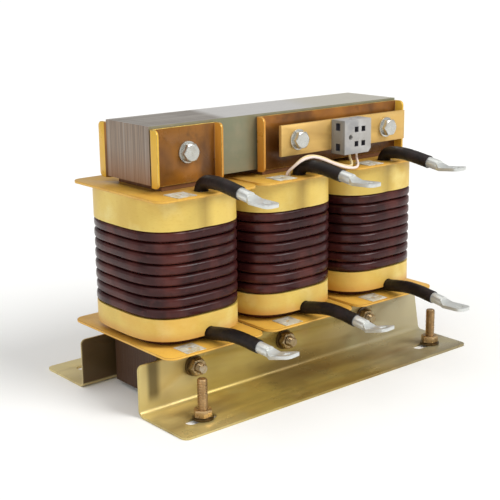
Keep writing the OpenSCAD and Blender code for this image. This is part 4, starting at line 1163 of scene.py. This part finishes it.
def lead_line(i, upper, more):
    """A lead's smooth line from its root on one coil, made longer in a straight line"""
    yaw = math.radians((UPPER_YAW if upper else LOWER_YAW)[i])
    out = Vector((math.sin(yaw), -math.cos(yaw), 0))
    x = (i - 1) * COIL_PITCH + LEAD_OFFSET
    if upper:
        root = Vector((x, UPPER_ROOT_INSET - COIL_HALF.y, coil_top))
        shares, reach, arch = UPPER_ROUTE_SHARES, UPPER_REACH * UPPER_REACH_SHARES[i], UPPER_ARCH
    else:
        root = Vector((x, STRAND_THICKNESS + LAYER_GAP - COIL_HALF.y - SEAT_GAP, coil_base + LOWER_LEAD_RISE))
        shares, reach = LOWER_ROUTE_SHARES, LOWER_REACH * LOWER_REACH_SHARES[i]
        arch = LOWER_ARCH * LOWER_ARCH_SHARES[i]
    route = [root + out * (along * reach) + Vector((0, 0, rise * arch)) for along, rise in shares]
    heading = (route[-1] - route[-2]).normalized()
    line = smooth_path(route, LEAD_STEPS)
    return line + [line[-1] + heading * more * (step + 1) / END_STEPS for step in range(END_STEPS)]


black_sleeve = finish("black_sleeve", SLEEVE_BLACK, 0.46, specular_ior_level=0.3)
mottled(black_sleeve, SLEEVE_DUSTY, 0.7, 70, 0.45, 0.7)
mottled(black_sleeve, SLEEVE_DEEP, 0.5, 400, 0.5, 0.7)
relief(black_sleeve, 0.25 * MM, 90, 0.3, 0.7)
relief(black_sleeve, 0.04 * MM, 700, 0.3, 0.7)
copper = finish("bare_copper", COPPER, 0.35, metallic=0.9)
mottled(copper, COPPER_DARK, 0.5, 500, 0.45, 0.65)
conductors = []
for level, first_seed in (("upper", 56), ("lower", 49)):
    sleeves = []
    for i in range(3):
        line = lead_line(i, level == "upper", SLEEVE_LAP)
        draw = random.Random(first_seed + i)
        radii = [1 - draw.uniform(0, SLEEVE_LUMPS) for _ in line]
        tube = round_tube("sleeve", line, SLEEVE_RADIUS, radii, capped=False, fineness=8)
        sleeves.append(modified(tube, "SOLIDIFY", thickness=SLEEVE_WALL, offset=-1))
        core = lead_line(i, level == "upper", CONDUCTOR_GRIP)
        conductors.append(round_tube("conductor", core, CONDUCTOR_RADIUS))
    group = joined(f"shrunk_{level}_sleeves", sleeves, black_sleeve)
    settled(smoothed(group, SWEEP_ANGLE), f"{level}_sleeves")
strands = joined("stranded_conductors", conductors, copper)
settled(smoothed(strands, SWEEP_ANGLE), "lead_conductors")

# Lugs: tinned copper tube flattened into a palm with a round hole. Each is crimped onto the end of
# its lead's conductor, and the sleeve's end laps over its barrel.
TIN = "#d6d8d4"
TIN_GREY = "#b4b2ac"
TIN_BRIGHT = "#ececea"
LUG_ROUND = 0.35 * MM
tin = finish("tinned_copper", TIN, 0.36, metallic=0.55, specular_ior_level=0.6)
mottled(tin, TIN_GREY, 0.4, 90, 0.5, 0.75)
mottled(tin, TIN_BRIGHT, 0.5, 50, 0.5, 0.75, shift=(2, 6, 4))
gloss(tin, 0.3, 0.44, 120, 0.35, 0.7)
relief(tin, 0.015 * MM, 200, 0.3, 0.7)
for level in ("upper", "lower"):
    for side in SIDES:
        node = f"{level}_{side}_lug"
        rounded_copy(node, "crimped_" + node, "lug_tin", LUG_ROUND, tin)

# Marker plates: thin plain plates with a small hole, glued to the flanges beside the leads. Their pale
# faces have gone mottled with varnish and dirt.
MARKER_PALE = "#cbc7b4"
MARKER_DIRT = "#8e8e90"
MARKER_VARNISH = "#b49a58"
MARKER_BRIGHT = "#e4e4e2"
MARKER_ROUND = 0.1 * MM
pale = finish("pale_marker", MARKER_PALE, 0.5)
mottled(pale, MARKER_DIRT, 0.6, 120, 0.48, 0.64)
mottled(pale, MARKER_VARNISH, 0.7, 160, 0.5, 0.66, shift=(2, 1, 1))
mottled(pale, MARKER_BRIGHT, 0.7, 240, 0.52, 0.66, shift=(7, 1, 1))
rounded_copy("marker_plates", "plain_markers", "marker", MARKER_ROUND, pale)
